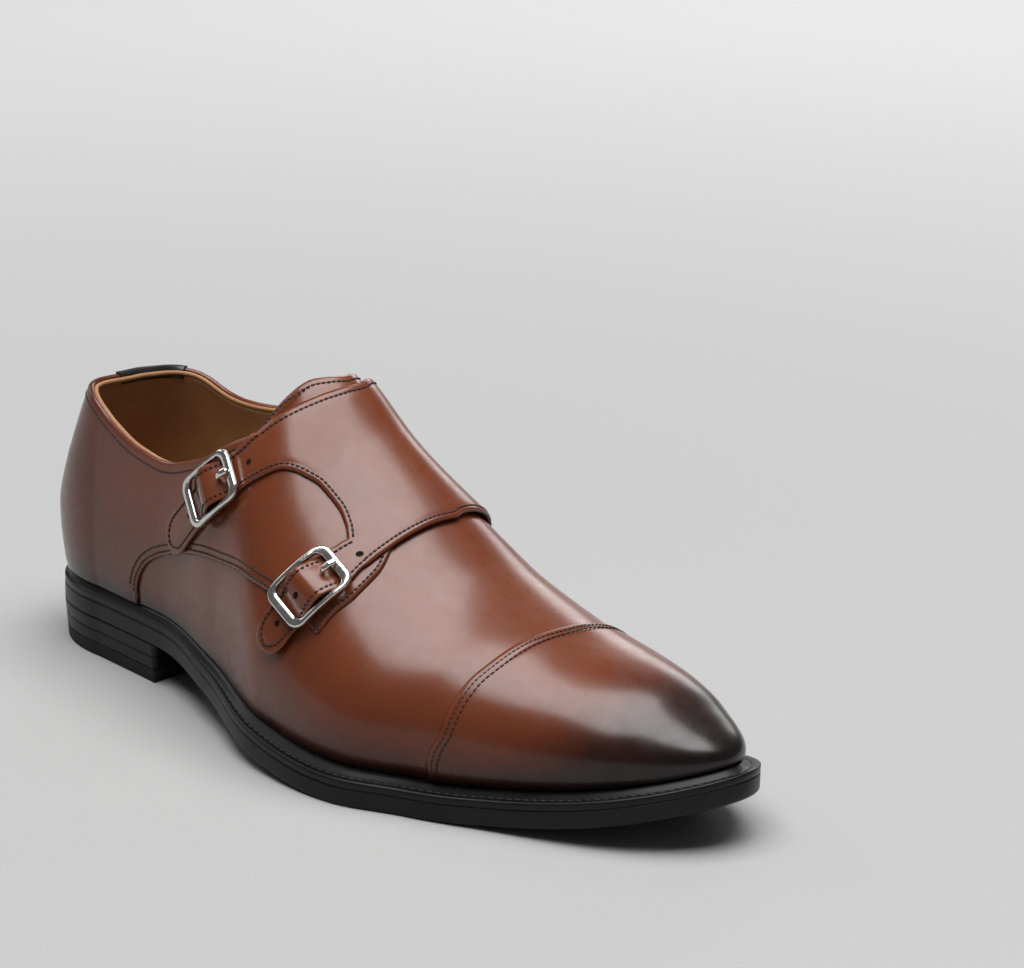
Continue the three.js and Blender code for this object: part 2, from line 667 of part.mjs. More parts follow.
// The frame: the rail carried round the rounded rectangle, joined with its centre bar.
function buckleSolid({ matrix, bend }) {
  const line = frameLine(bend);
  const rings = line.map((point, i) => {
    const ahead = line[(i + 1) % line.length];
    const behind = line[(i + line.length - 1) % line.length];
    const outward = new THREE.Vector3(ahead.y - behind.y, behind.x - ahead.x, 0).normalize();
    return railSection(FRAME.rail, FRAME.height).map(([across, up]) =>
      point.clone().addScaledVector(outward, across).add(new THREE.Vector3(0, 0, up)),
    );
  });
  const rail = loft(rings, { looped: true });
  const bar = new THREE.CylinderGeometry(BAR.radius, BAR.radius, FRAME.width - FRAME.rail * 2, 10);
  bar.translate(0, 0, BAR.lift);
  const posts = [-1, 1].map((side) => {
    const post = new THREE.BoxGeometry(BAR.radius * 2, FRAME.rail, FRAME.lift - BAR.lift + BAR.radius);
    const height = (FRAME.lift + BAR.lift - BAR.radius) / 2;
    post.translate(0, side * (FRAME.width / 2 - FRAME.rail), height);
    return solid(post);
  });
  return rail.add(solid(bar)).add(posts[0]).add(posts[1]).transform(matrix.elements);
}

// The prong: a ring round the centre bar and an arm that runs under the strap, comes up
// through its hole and rests on the frame's instep end.
function prongSolid({ matrix, bend }) {
  const end = FRAME.length / 2 - FRAME.rail;
  const rest = FRAME.lift - bend * end ** 2 + FRAME.height * FULL + GAP + PRONG.radius;
  const strapTop = GAP + humpAt(PRONG.at, 0) + STRAP;
  const ringShape = new THREE.Shape().absarc(0, 0, PRONG.ring, 0, Math.PI * 2);
  ringShape.holes.push(new THREE.Path().absarc(0, 0, PRONG.bore, 0, Math.PI * 2, true));
  const ring = new THREE.ExtrudeGeometry(ringShape, {
    depth: PRONG.width,
    bevelEnabled: false,
    curveSegments: 8,
  });
  ring.translate(0, 0, -PRONG.width / 2);
  ring.rotateX(Math.PI / 2);
  ring.translate(0, 0, BAR.lift);
  const path = new THREE.CatmullRomCurve3(
    [
      { a: PRONG.ring - PRONG.radius / 2, c: BAR.lift - 0.2 },
      { a: PRONG.at - 2.4, c: BAR.lift - 1.1 },
      { a: PRONG.at - 0.9, c: BAR.lift - 0.6 },
      { a: PRONG.at, c: strapTop - 0.6 },
      { a: PRONG.at + 0.7, c: strapTop + 1.2 },
      { a: PRONG.at + 2.4, c: rest + 0.3 },
      { a: end, c: rest },
      { a: end + 1.2, c: rest - 0.35 },
    ].map(({ a, c }) => new THREE.Vector3(a, 0, c)),
  );
  const circle = new THREE.Shape().absarc(0, 0, PRONG.radius, 0, Math.PI * 2);
  const arm = new THREE.ExtrudeGeometry(circle, {
    steps: 15,
    curveSegments: 4,
    extrudePath: path,
    bevelEnabled: false,
  });
  return solid(ring).add(solid(arm)).transform(matrix.elements);
}

// The hole that the prong comes through.
function prongHole({ matrix }) {
  const hole = new THREE.CylinderGeometry(PRONG.hole, PRONG.hole, 8, 12);
  hole.rotateX(Math.PI / 2);
  hole.translate(PRONG.at, 0, GAP + humpAt(PRONG.at, 0) + STRAP / 2);
  return solid(hole).transform(matrix.elements);
}

for (const strap of Object.values(STRAPS)) {
  panel = panel.add(strapStrip(strap)).subtract(prongHole(buckleFrame(strap)));
}
add("strap_panel", panel, brown);

for (const [name, strap] of Object.entries(STRAPS)) {
  const place = buckleFrame(strap);
  add(`buckle_frame_${name}`, buckleSolid(place), steel);
  add(`buckle_prong_${name}`, prongSolid(place), steel);
}

// ---- The origin lies on the floor, under the middle of the shoe's box ----

const box = new THREE.Box3().setFromObject(shoe);
const middle = box.getCenter(new THREE.Vector3());
shoe.position.set(-middle.x, -middle.y, -box.min.z);

export default shoe;
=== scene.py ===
"""A right shoe with two buckled straps over the instep and a plain toe cap, in brown
burnished calf on a black welted leather sole. The sections follow the order of making.
Shapes are worked out in millimetres in the shoe's own stations: x from the back of the sole
towards the toe, y towards the inner side of the foot, z up from the floor."""

import math

import bmesh
import bpy
import numpy as np
from mathutils import Matrix, Vector


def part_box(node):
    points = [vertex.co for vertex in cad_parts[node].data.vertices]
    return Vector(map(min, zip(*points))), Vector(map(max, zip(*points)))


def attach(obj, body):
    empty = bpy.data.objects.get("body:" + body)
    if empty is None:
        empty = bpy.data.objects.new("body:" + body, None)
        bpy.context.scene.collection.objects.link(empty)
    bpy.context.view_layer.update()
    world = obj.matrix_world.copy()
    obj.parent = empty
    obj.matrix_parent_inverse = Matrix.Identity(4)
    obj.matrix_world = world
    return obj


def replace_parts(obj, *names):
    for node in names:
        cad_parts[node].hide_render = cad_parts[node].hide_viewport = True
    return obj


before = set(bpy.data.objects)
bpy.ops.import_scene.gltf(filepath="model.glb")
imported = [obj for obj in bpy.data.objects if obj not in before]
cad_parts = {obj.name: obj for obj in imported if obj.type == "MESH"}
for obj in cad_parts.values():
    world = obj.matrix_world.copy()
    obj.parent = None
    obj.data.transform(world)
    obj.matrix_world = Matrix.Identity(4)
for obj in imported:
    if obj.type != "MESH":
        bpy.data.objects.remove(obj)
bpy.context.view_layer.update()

# ---- Camera ----
# A long lens from in front of the outer side, a little above the shoe and rolled slightly.

CAMERA_TARGET = Vector((-0.069, 0.14396, 0.040))
CAMERA_DISTANCE = 1.3738
CAMERA_TURN = math.radians(42.47)
CAMERA_RISE = math.radians(17.57)
CAMERA_ROLL = math.radians(1.65)

camera = bpy.data.objects.new("camera", bpy.data.cameras.new("camera"))
camera.data.sensor_width = 36
camera.data.lens = 129.15
back = Vector(
    (
        math.sin(CAMERA_TURN) * math.cos(CAMERA_RISE),
        -math.cos(CAMERA_TURN) * math.cos(CAMERA_RISE),
        math.sin(CAMERA_RISE),
    )
)
turned = back.to_track_quat("Z", "Y").to_matrix() @ Matrix.Rotation(CAMERA_ROLL, 3, "Z")
camera.matrix_world = Matrix.Translation(CAMERA_TARGET + back * CAMERA_DISTANCE) @ turned.to_4x4()
bpy.context.scene.collection.objects.link(camera)
bpy.context.scene.camera = camera

# ---- Leather outsole ----
# One plate of leather cut to the plan of the foot, arched at the waist and sprung at the toe.
# Its edge is trimmed square, inked black and waxed, and its corners are broken.

LENGTH = 305
HEEL_BLOCK = 14.2
SOLE = 6
WELT = 3
TOE_SPRING = 16.5
BREAST = 72
BALL_BACK = 192
BALL_FRONT = 212
HEEL_CENTRE = 38
HEEL_ROUND = 2.1
TOE_LENGTH = 82
TOE_ROUND = 1.9

# Plan of the sole's edge: station, centre, half width, how far the upper stands in from the
# edge, and how far the welt rises inwards.
PLAN_COLUMNS = ("x", "centre", "half", "inset", "rise")
PLAN = np.array(
    [
        (38, 4, 30.5, 2, 3),
        (75, 3, 33.8, 1.5, 3.2),
        (112, -5, 38, 3, 2.9),
        (150, -11, 47.5, 5, 2.7),
        (190, -6.5, 54, 6.5, 2.7),
        (215, -0.5, 50.5, 7, 2.4),
        (245, 3, 44, 6.5, 2.5),
        (270, 4.5, 42, 6, 3),
        (305, 9, 42, 6, 3.3),
    ],
    float,
)


def smooth_curve(places, values):
    """A cubic through the values. Each slope is the harmonic mean of its neighbouring secants,
    or zero where they differ in sign, so the curve never overshoots."""
    secants = np.diff(values) / np.diff(places)
    before = np.concatenate([secants[:1], secants])
    after = np.concatenate([secants, secants[-1:]])
    same = before * after > 0
    slopes = np.where(same, 2 * before * after / np.where(same, before + after, 1), 0)

    def at(x):
        x = np.clip(x, places[0], places[-1])
        i = np.clip(np.searchsorted(places, x, side="left") - 1, 0, len(secants) - 1)
        width = places[i + 1] - places[i]
        s = (x - places[i]) / width
        mean = values[i] + (values[i + 1] - values[i]) * s * s * (3 - 2 * s)
        return mean + s * (1 - s) * width * ((1 - s) * slopes[i] - s * slopes[i + 1])

    return at


plan = {name: smooth_curve(PLAN[:, 0], PLAN[:, k]) for k, name in enumerate(PLAN_COLUMNS)}


def smooth_step(x, low, high):
    """0 below low, 1 above high, and 3 s squared less 2 s cubed between them."""
    s = np.clip((x - low) / (high - low), 0, 1)
    return s * s * (3 - 2 * s)


def tread(x):
    """Height of the sole's underside: level under the heel, falling as a smooth step to the
    flat tread, then rising as a parabola to the toe."""
    spring = np.maximum(0, (x - BALL_FRONT) / (LENGTH - BALL_FRONT))
    return HEEL_BLOCK * (1 - smooth_step(x, BREAST, BALL_BACK)) + TOE_SPRING * spring**2


def station(u, heel_back, tip):
    """Distance from the back, and share of the full width, at the station u: 0 to 1 is a
    quarter superellipse round the heel, 1 to 2 runs straight, 2 to 3 goes round the toe."""
    heel_turn = np.clip(u, 0, 1) * math.pi / 2
    toe_turn = np.clip(u - 2, 0, 1) * math.pi / 2
    x = HEEL_CENTRE - (HEEL_CENTRE - heel_back) * np.maximum(np.cos(heel_turn), 0) ** (2 / HEEL_ROUND)
    x = x + (tip - TOE_LENGTH - HEEL_CENTRE) * np.clip(u - 1, 0, 1)
    x = x + TOE_LENGTH * np.sin(toe_turn) ** (2 / TOE_ROUND)
    share = np.sin(heel_turn) ** (2 / HEEL_ROUND) * np.maximum(np.cos(toe_turn), 0) ** (2 / TOE_ROUND)
    return x, share


def outline(u, side, inset, more):
    """A point in plan, inside the sole's edge by a share of the table's inset and by more
    millimetres: centre plus or minus the half width times the station's share."""
    x, share = station(u, inset * plan["inset"](0.0) + more, LENGTH - inset * plan["inset"](305.0) - more)
    half = plan["half"](x) - inset * plan["inset"](x) - more
    return x, plan["centre"](x) + side * half * share


around = np.linspace(0, 3, 400)
sole_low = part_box("outsole")[0]
_, plan_y = outline(around, -1, 0, 0)
ORIGIN = np.array([sole_low.x * 1000, sole_low.y * 1000 - plan_y.min(), 0])


def new_piece(name, points, faces, materials, flat_ends=0):
    """A mesh object from points in millimetres, smooth but for its last faces, with its
    finishes and its material slot, riding on the shoe's one body."""
    mesh = bpy.data.meshes.new(name)
    polygons = faces if isinstance(faces, list) else faces.tolist()
    mesh.from_pydata((points + ORIGIN) / 1000, [], polygons)
    mesh.validate()
    piece = bpy.data.objects.new(name, mesh)
    bpy.context.scene.collection.objects.link(piece)
    for material in materials:
        mesh.materials.append(material)
    mesh.polygons.foreach_set("use_smooth", np.arange(len(mesh.polygons)) < len(mesh.polygons) - flat_ends)
    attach(piece, "root")
    return piece


def grid_faces(rows, columns, loop_rows=False, loop_columns=False, start=0):
    """Quads over a grid of points, row by row, closed round where a direction loops."""
    i = np.arange(rows if loop_rows else rows - 1)[:, None]
    j = np.arange(columns if loop_columns else columns - 1)[None, :]
    i2, j2 = (i + 1) % rows, (j + 1) % columns
    quads = [i * columns + j, i2 * columns + j, i2 * columns + j2, i * columns + j2]
    return start + np.stack(np.broadcast_arrays(*quads), -1).reshape(-1, 4)


def merged(piece, distance=2e-6):
    """Merges doubled points of a piece and turns its faces outwards."""
    work = bmesh.new()
    work.from_mesh(piece.data)
    bmesh.ops.remove_doubles(work, verts=work.verts, dist=distance)
    bmesh.ops.dissolve_degenerate(work, edges=work.edges, dist=distance)
    bmesh.ops.recalc_face_normals(work, faces=work.faces)
    work.to_mesh(piece.data)
    work.free()
    return piece


def around_plan(middle, toe):
    """Stations from the heel to the tip, closer together at both, as powers of even steps."""
    heel = np.linspace(0, 1, 40) ** 1.2
    return np.concatenate([heel, np.linspace(1, 2, middle)[1:], 3 - np.linspace(1, 0, toe)[1:] ** 1.2])


def sole_plate(name, profile, inset, base, material, across=16):
    """A plate over the plan: at each station the profile (inset, height above base) runs down
    the outer edge, straight across below, and up the inner edge, and straight across above."""
    u = around_plan(60, 51)
    profile = np.asarray(profile, float)
    rows = []
    for side, steps in ((-1, profile), (1, profile[::-1])):
        x, y = outline(u[:, None], side, inset, steps[None, :, 0])
        rows.append(np.stack([x, y, base(x) + steps[None, :, 1]], -1))
    lateral, medial = rows
    blend = np.linspace(0, 1, across + 1)[1:-1][None, :, None]
    below = lateral[:, -1:] * (1 - blend) + medial[:, :1] * blend
    above = medial[:, -1:] * (1 - blend) + lateral[:, :1] * blend
    for sheet in (below, above):
        end = sheet[:, :, 0]
        sheet[:, :, 2] += base(end) - base(np.broadcast_to(sheet[:, :1, 0], end.shape))
    ring = np.concatenate([lateral, below, medial, above], 1)
    faces = grid_faces(len(u), ring.shape[1], loop_columns=True)
    return merged(new_piece(name, ring.reshape(-1, 3), faces, [material]))


def shader(name, roughness, **sockets):
    """A new material's node tree with its shader and the object's coordinates."""
    material = bpy.data.materials.new(name)
    material.use_nodes = True
    tree = material.node_tree
    surface = tree.nodes["Principled BSDF"]
    surface.inputs["Roughness"].default_value = roughness
    for socket, value in sockets.items():
        surface.inputs[socket.replace("_", " ")].default_value = value
    place = tree.nodes.new("ShaderNodeTexCoord").outputs["Object"]
    return material, tree, surface, place


def node(tree, kind, settings=None, **links):
    """A node with its settings made and its named inputs linked or set."""
    made = tree.nodes.new("ShaderNode" + kind)
    for key, value in (settings or {}).items():
        setattr(made, key, value)
    for key, value in links.items():
        socket = made.inputs[int(key[1:]) if key[0] == "i" and key[1:].isdigit() else key.replace("_", " ")]
        if isinstance(value, bpy.types.NodeSocket):
            tree.links.new(value, socket)
        else:
            socket.default_value = value
    return made


def ramp(tree, factor, stops):
    """A colour ramp through (place, colour) stops."""
    made = node(tree, "ValToRGB", Fac=factor)
    elements = made.color_ramp.elements
    while len(elements) < len(stops):
        elements.new(0.5)
    for element, (place, colour) in zip(elements, stops):
        element.position = place
        element.color = (*colour, 1)
    return made.outputs["Color"]


def between(tree, noise, low, high):
    """A noise's usual range, 0.3 to 0.7, spread from low to high."""
    spread = node(tree, "MapRange", Value=noise, From_Min=0.3, From_Max=0.7, To_Min=low, To_Max=high)
    return spread.outputs["Result"]


# Black edge ink over leather: near black with a grey waxy bloom, fine trimming lines that run
# along the edge, and a little unevenness in the polish.
edge_ink, tree, surface, place = shader("edge_ink", 0.36, Specular_IOR_Level=0.25)
stretched = node(tree, "Mapping", Vector=place, Scale=(30, 30, 2600)).outputs["Vector"]
lines = node(tree, "TexNoise", Vector=stretched, Scale=1.0, Detail=3.0).outputs["Fac"]
cloud = node(tree, "TexNoise", Vector=place, Scale=60.0, Detail=4.0).outputs["Fac"]
colour = ramp(tree, cloud, [(0.3, (0.003, 0.003, 0.0033)), (0.7, (0.007, 0.0067, 0.0067))])
tree.links.new(colour, surface.inputs["Base Color"])
rough = node(tree, "MapRange", Value=cloud, To_Min=0.30, To_Max=0.46).outputs["Result"]
tree.links.new(rough, surface.inputs["Roughness"])
height = node(tree, "Math", {"operation": "MULTIPLY_ADD"}, i0=lines, i1=0.5, i2=cloud).outputs["Value"]
relief = node(tree, "Bump", Height=height, Strength=0.16, Distance=0.0004).outputs["Normal"]
tree.links.new(relief, surface.inputs["Normal"])

SOLE_EDGE = [
    (22, 6), (1.0, 6.12), (0.2, 6.12), (0.05, 6.05), (0, 5.8), (0, 3),
    (0, 1.2), (0.15, 0.55), (0.6, 0.12), (1.3, 0), (22, 0),
]
outsole = sole_plate("leather_outsole", SOLE_EDGE, 0, tread, edge_ink)
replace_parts(outsole, "outsole")

# ---- Welt ----
# A strip of leather sewn to the upper and laid round on top of the outsole. It is low at the
# edge, stitched along its top, and rises to the feather line where the upper tucks in.


def sole_top(x):
    return tread(x) + SOLE + 0.15


def feather(x):
    """Height of the line where the upper meets the welt."""
    return tread(x) + SOLE + WELT + plan["rise"](x)


def welt_piece():
    """The welt as a closed band: the sole's edge below, a rounded lip, a shallow stitch
    channel, then a rise to the feather line, and level in under the upper."""
    u = around_plan(110, 61)
    share = np.array([0, 0, 0, 0.05, 0.16, 0.34, 0.45, 0.56, 0.8, 1, 1, 1, 1, 1.0])
    more = np.array([0.7, 0.1, 0, 0, 0, 0, 0, 0, 0, 0, 3, 12, 12, 5])
    lift = np.array([0, 0.25, 2.5, 2.9, 3.05, 3.05, 2.75, 3.05, 3.2, 3.3, 3.3, 3.3, 0, 0])
    climb = np.array([0, 0, 0, 0, 0, 0.02, 0.04, 0.1, 0.45, 1, 1, 1, 0, 0])
    rings = []
    for side in (-1, 1):
        x, y = outline(u[:, None], side, share[None], more[None])
        low = tread(x) + SOLE + 0.15
        z = low + lift + climb * (feather(x) - low - 3.5)
        rings.append(np.stack([x, y, z], -1))
    loop = np.concatenate([rings[0], rings[1][::-1]], 0)
    faces = grid_faces(len(loop), loop.shape[1], loop_rows=True, loop_columns=True)
    return merged(new_piece("welt_band", loop.reshape(-1, 3), faces, [edge_ink]))


welt = welt_piece()
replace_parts(welt, "welt")


def seam(name, rows, pitch, size, material, sink=0.0):
    """Stitches along rows of (points, normals): every pitch millimetres a small closed
    capsule, size (half length, half width, half height), laid along the row."""
    turn = np.linspace(0, 2 * math.pi, 6, endpoint=False)
    reach = np.array([-1, -0.8, 0, 0.8, 1])
    girth = np.array([0.02, 0.72, 1, 0.72, 0.02])
    template = np.stack(
        [
            np.repeat(reach[:, None], 6, 1) * size[0],
            girth[:, None] * np.cos(turn) * size[1],
            girth[:, None] * np.sin(turn) * size[2],
        ],
        -1,
    ).reshape(-1, 3)
    quads = grid_faces(5, 6, loop_columns=True)
    points, faces = [], []
    total = 0
    for line, out in rows:
        gap = np.linalg.norm(np.diff(line, axis=0), axis=1)
        run = np.concatenate([[0], np.cumsum(gap)])
        middles = np.arange(pitch / 2, run[-1], pitch)
        centre = np.stack([np.interp(middles, run, line[:, k]) for k in range(3)], -1)
        up = np.stack([np.interp(middles, run, out[:, k]) for k in range(3)], -1)
        up /= np.linalg.norm(up, axis=1, keepdims=True)
        ahead = np.stack([np.interp(middles + 0.4, run, line[:, k]) for k in range(3)], -1)
        behind = np.stack([np.interp(middles - 0.4, run, line[:, k]) for k in range(3)], -1)
        heading = ahead - behind
        heading -= up * np.sum(heading * up, 1, keepdims=True)
        heading /= np.linalg.norm(heading, axis=1, keepdims=True)
        axes = np.stack([heading, np.cross(up, heading), up], 1)
        placed = centre[:, None] - up[:, None] * sink + template[None] @ axes
        points.append(placed.reshape(-1, 3))
        starts = total + np.arange(len(middles)) * len(template)
        faces.append((quads[None] + starts[:, None, None]).reshape(-1, 4))
        total += len(middles) * len(template)
    return new_piece(name, np.concatenate(points), np.concatenate(faces), [material])


def thread(name, colour, roughness=0.55):
    """Waxed linen thread: its colour and relief follow the noise of its twist."""
    material, tree, surface, place = shader(name, roughness, Specular_IOR_Level=0.35)
    twist = node(tree, "TexNoise", Vector=place, Scale=2400.0, Detail=2.0).outputs["Fac"]
    dark = tuple(c * 0.55 for c in colour)
    tint = ramp(tree, twist, [(0.35, dark), (0.65, colour)])
    tree.links.new(tint, surface.inputs["Base Color"])
    relief = node(tree, "Bump", Height=twist, Strength=0.4, Distance=0.0001).outputs["Normal"]
    tree.links.new(relief, surface.inputs["Normal"])
    return material


welt_thread = thread("welt_thread", (0.030, 0.029, 0.024))


def welt_row(side, start, finish):
    """A row in the welt's channel on one side, between two stations."""
    u = np.linspace(start, finish, 300)
    x, y = outline(u, side, 0.45, 0)
    line = np.stack([x, y, sole_top(x) + 2.85], -1)
    return line, np.tile([0.0, 0.0, 1.0], (len(u), 1))


lateral_row = welt_row(-1, 1.18, 3)
medial_row = welt_row(1, 1.18, 3)
whole_row = tuple(np.concatenate([a, b[::-1][1:]]) for a, b in zip(lateral_row, medial_row))
seam("welt_stitches", [whole_row], 3.0, (1.35, 0.42, 0.36), welt_thread)

# ---- Heel ----
# Two lifts of stacked leather under the seat, then a rubber top piece, pegged together,
# trimmed flush, inked and waxed. The front face, the breast, is cut straight.

TOP_PIECE = 5
HEEL_TAPER = 1.2


def heel_slab(name, low, high, material):
    """A slice of the heel: the sole's outline round the back with rounded corners, cut
    straight across at the breast, narrowing towards the floor, with its corners broken."""
    broken = 0.25
    profile = [(broken * 1.6, low), (0.05, low + broken), (0, low + 2 * broken)]
    profile += [(0, high - 2 * broken), (0.05, high - broken), (broken * 1.6, high)]
    u = np.concatenate([np.linspace(0, 1, 36) ** 1.2, 1 + np.linspace(0, 0.19, 12)[1:]])
    rings = []
    for inset, z in profile:
        more = inset + HEEL_TAPER * (1 - z / HEEL_BLOCK)
        x, y = outline(u, -1, 0, more)
        x2, y2 = outline(u, 1, 0, more)
        keep = x < BREAST - more
        front = BREAST - more
        side_y = np.interp(front, x, y), np.interp(front, x2, y2)
        across = np.linspace(side_y[0], side_y[1], 24)
        ring_x = np.concatenate([x[keep], np.full(24, front), x2[keep][::-1][:-1]])
        ring_y = np.concatenate([y[keep], across, y2[keep][::-1][:-1]])
        rings.append(np.stack([ring_x, ring_y, np.full(len(ring_x), z)], -1))
    count = min(len(ring) for ring in rings)
    rings = [ring[:count] for ring in rings]
    points = np.concatenate(rings)
    faces = grid_faces(len(rings), count, loop_columns=True).tolist()
    faces.append(list(range(count)))
    faces.append([len(points) - 1 - k for k in range(count)])
    return merged(new_piece(name, points, faces, [material], flat_ends=2))


# Hard rubber: dull black with a fine grain.
rubber, tree, surface, place = shader("top_piece_rubber", 0.7, Specular_IOR_Level=0.3)
grain = node(tree, "TexNoise", Vector=place, Scale=1400.0, Detail=3.0).outputs["Fac"]
colour = ramp(tree, grain, [(0.3, (0.005, 0.005, 0.005)), (0.7, (0.010, 0.010, 0.010))])
tree.links.new(colour, surface.inputs["Base Color"])
relief = node(tree, "Bump", Height=grain, Strength=0.3, Distance=0.0002).outputs["Normal"]
tree.links.new(relief, surface.inputs["Normal"])

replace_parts(heel_slab("rubber_top_piece", 0, TOP_PIECE - 0.05, rubber), "heel_top_piece")
lift_height = (HEEL_BLOCK - TOP_PIECE) / 2
for i in (0, 1):
    low = TOP_PIECE + 0.05 + i * lift_height
    lift_piece = heel_slab(f"leather_lift_{i + 1}", low, low + lift_height - 0.1, edge_ink)
    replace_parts(lift_piece, f"heel_lift_{i + 1}")

# ---- Sock lining ----
# A full-length sock of thin tan leather, cut to the insole and glued over it inside the shoe.
# It is soft and unfinished, with a slightly clouded colour.

tan_leather, tree, surface, place = shader("tan_lining_leather", 0.55, Specular_IOR_Level=0.35)
pores = node(tree, "TexVoronoi", Vector=place, Scale=1500.0).outputs["Distance"]
cloud = node(tree, "TexNoise", Vector=place, Scale=38.0, Detail=5.0, Roughness=0.6).outputs["Fac"]
tans = [(0.25, (0.230, 0.108, 0.042)), (0.55, (0.300, 0.150, 0.062)), (0.8, (0.350, 0.185, 0.082))]
colour = ramp(tree, cloud, tans)
tree.links.new(colour, surface.inputs["Base Color"])
relief = node(tree, "Bump", Height=pores, Strength=0.25, Distance=0.0002).outputs["Normal"]
tree.links.new(relief, surface.inputs["Normal"])

SOCK_EDGE = [(24, 3.3), (4.2, 3.3), (3.3, 3.2), (2.9, 2.9), (2.8, 2.4), (2.8, 0.4), (24, 0.4)]
sock = sole_plate("sock_lining", SOCK_EDGE, 1, feather, tan_leather)
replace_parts(sock, "insole")

# ---- Lining of the upper ----
# Tan calf, closed over the last inside the upper from the collar to the toe, and glued to
# the outer leather.

TOE_CROWN = 45
TOE_CROWN_ROUND = 2.6
TIP_BLEND = 60
BACK_HEIGHT = 102
BACK_SWELL = 1.8
BACK_ROUND = 0.9
BELLY = 0.22
LOW = 0.2

# The last's sections: height and sideways place of the ridge, and for the outer and inner
# side the roundness over the top and the swell of the flank beyond the feather line.
RIDGE_COLUMNS = ("x", "z", "y", "round_outer", "round_inner", "swell_outer", "swell_inner")
RIDGE = np.array(
    [
        (38, 135, 0, 2, 2, 2.5, 2.5),
        (75, 135, 0, 1.9, 2, 2, 1),
        (100, 131, 1, 1.85, 2, 1, 0),
        (125, 122, 3, 1.8, 2, 0.5, 0),
        (150, 100.5, 4.7, 1.75, 2, 2, 1),
        (175, 82, 5.3, 1.8, 2.1, 3, 2),
        (200, 65, 5, 1.9, 2.1, 3.4, 3),
        (225, 56, 5.2, 2.2, 2.05, 3.2, 3),
        (250, 50.3, 7.2, 2.1, 2.2, 2.3, 2.5),
        (275, 44.8, 9.5, 2.1, 2.25, 1.6, 2),
        (285, 41.3, 10.5, 2.2, 2.2, 0.8, 1.5),
        (292, 39.5, 11, 2.2, 2.2, 0.6, 1.3),
        (303, 38.3, 11.4, 2.2, 2.2, 0.4, 1.1),
    ],
    float,
)
ridge = {name: smooth_curve(RIDGE[:, 0], RIDGE[:, k]) for k, name in enumerate(RIDGE_COLUMNS)}


def half_section(v, height, reach, swell, round_):
    """Out and up of a half section, from the feather line at v 0 to the ridge at v 1: a
    parabola out to the belly, then a quarter of a superellipse over the top."""
    belly = BELLY * height
    low = v <= LOW
    turn = np.clip((v - LOW) / (1 - LOW), 0, 1) * math.pi / 2
    out = (reach + swell) * np.maximum(np.cos(turn), 0) ** (2 / round_)
    up = belly + (height - belly) * np.sin(turn) ** (2 / round_)
    return np.where(low, reach + swell - swell * (1 - v / LOW) ** 2, out), np.where(low, belly * v / LOW, up)


def last(u, side, v, grow=0.0):
    """A point on the last, grown outwards, at the station u, on the side -1 outer or 1 inner,
    at v up its half section. Round the heel the section turns into the back's own profile."""
    u, side, v, grow = np.broadcast_arrays(*[np.asarray(a, float) for a in (u, side, v, grow)])
    heel_back = plan["inset"](0.0) - grow
    tip = LENGTH - plan["inset"](305.0) + grow
    x, share = station(u, heel_back, tip)
    heel = u < 1
    at = np.where(heel, HEEL_CENTRE, x)
    over_toe = np.clip((at - tip + TOE_CROWN) / TOE_CROWN, 0, 1)
    crown = (1 - over_toe**TOE_CROWN_ROUND) ** (1 / TOE_CROWN_ROUND)
    to_tip = np.clip((at - tip + TIP_BLEND) / TIP_BLEND, 0, 1) ** 2
    middle = ridge["y"](at) * (1 - to_tip) + plan["centre"](at) * to_tip
    half = (plan["half"](at) - plan["inset"](at) + grow) * np.where(heel, 1, share)
    reach = np.abs(plan["centre"](at) + side * half - middle)
    outer = side < 0
    swell = np.where(outer, ridge["swell_outer"](at), ridge["swell_inner"](at)) * crown
    round_ = np.where(outer, ridge["round_outer"](at), ridge["round_inner"](at))
    height = (ridge["z"](at) - feather(at) + grow) * crown
    out, up = half_section(v, height, reach, swell, round_)
    back_out, back_up = half_section(v, BACK_HEIGHT + grow, HEEL_CENTRE - heel_back, BACK_SWELL, BACK_ROUND)
    cosine = np.maximum(np.cos(np.clip(u, 0, 1) * math.pi / 2), 0)
    spine = plan["centre"](at) * (1 - v) + middle * v
    turned_y = spine + (middle + side * out - spine) * share
    turned_z = feather(heel_back) * cosine**2 + back_up * cosine**2 + (feather(at) + up) * (1 - cosine**2)
    return np.stack(
        [
            np.where(heel, HEEL_CENTRE - back_out * cosine ** (2 / HEEL_ROUND), at),
            np.where(heel, turned_y, middle + side * out),
            np.where(heel, turned_z, feather(at) + up),
        ],
        -1,
    )


# Patterns are laid out on the last by X, a distance from the back that equals x along the
# middle and runs on round heel and toe, and W, the share of the girth from the ridge in
# hundredths, negative on the outer side.
HEEL_RUN = 60
TOE_RUN = 105
TOE_START = 217
BACK_X = HEEL_CENTRE - HEEL_RUN
TIP_X = TOE_START + TOE_RUN


def station_at(X):
    """The station u of a pattern's X: three straight stretches, for heel, middle and toe."""
    return np.interp(X, (BACK_X, HEEL_CENTRE, TOE_START, TIP_X), (0, 1, 2, 3))


def on_last(X, W, grow=0.0):
    """The last's surface over the pattern's X and W."""
    side = np.where(np.asarray(W) < 0, -1.0, 1.0)
    return last(station_at(X), side, 1 - np.minimum(np.abs(W), 100) / 100, grow)


def tangents(X, W):
    """Change of the surface for one unit of X and of W, from short central chords."""
    X, W = np.broadcast_arrays(np.asarray(X, float), np.asarray(W, float))
    x1, x2 = np.maximum(X - 0.4, BACK_X), np.minimum(X + 0.4, TIP_X)
    w1, w2 = np.maximum(W - 0.4, -100), np.minimum(W + 0.4, 100)
    along = (on_last(x2, W) - on_last(x1, W)) / (x2 - x1)[..., None]
    over = (on_last(X, w2) - on_last(X, w1)) / (w2 - w1)[..., None]
    return along, over


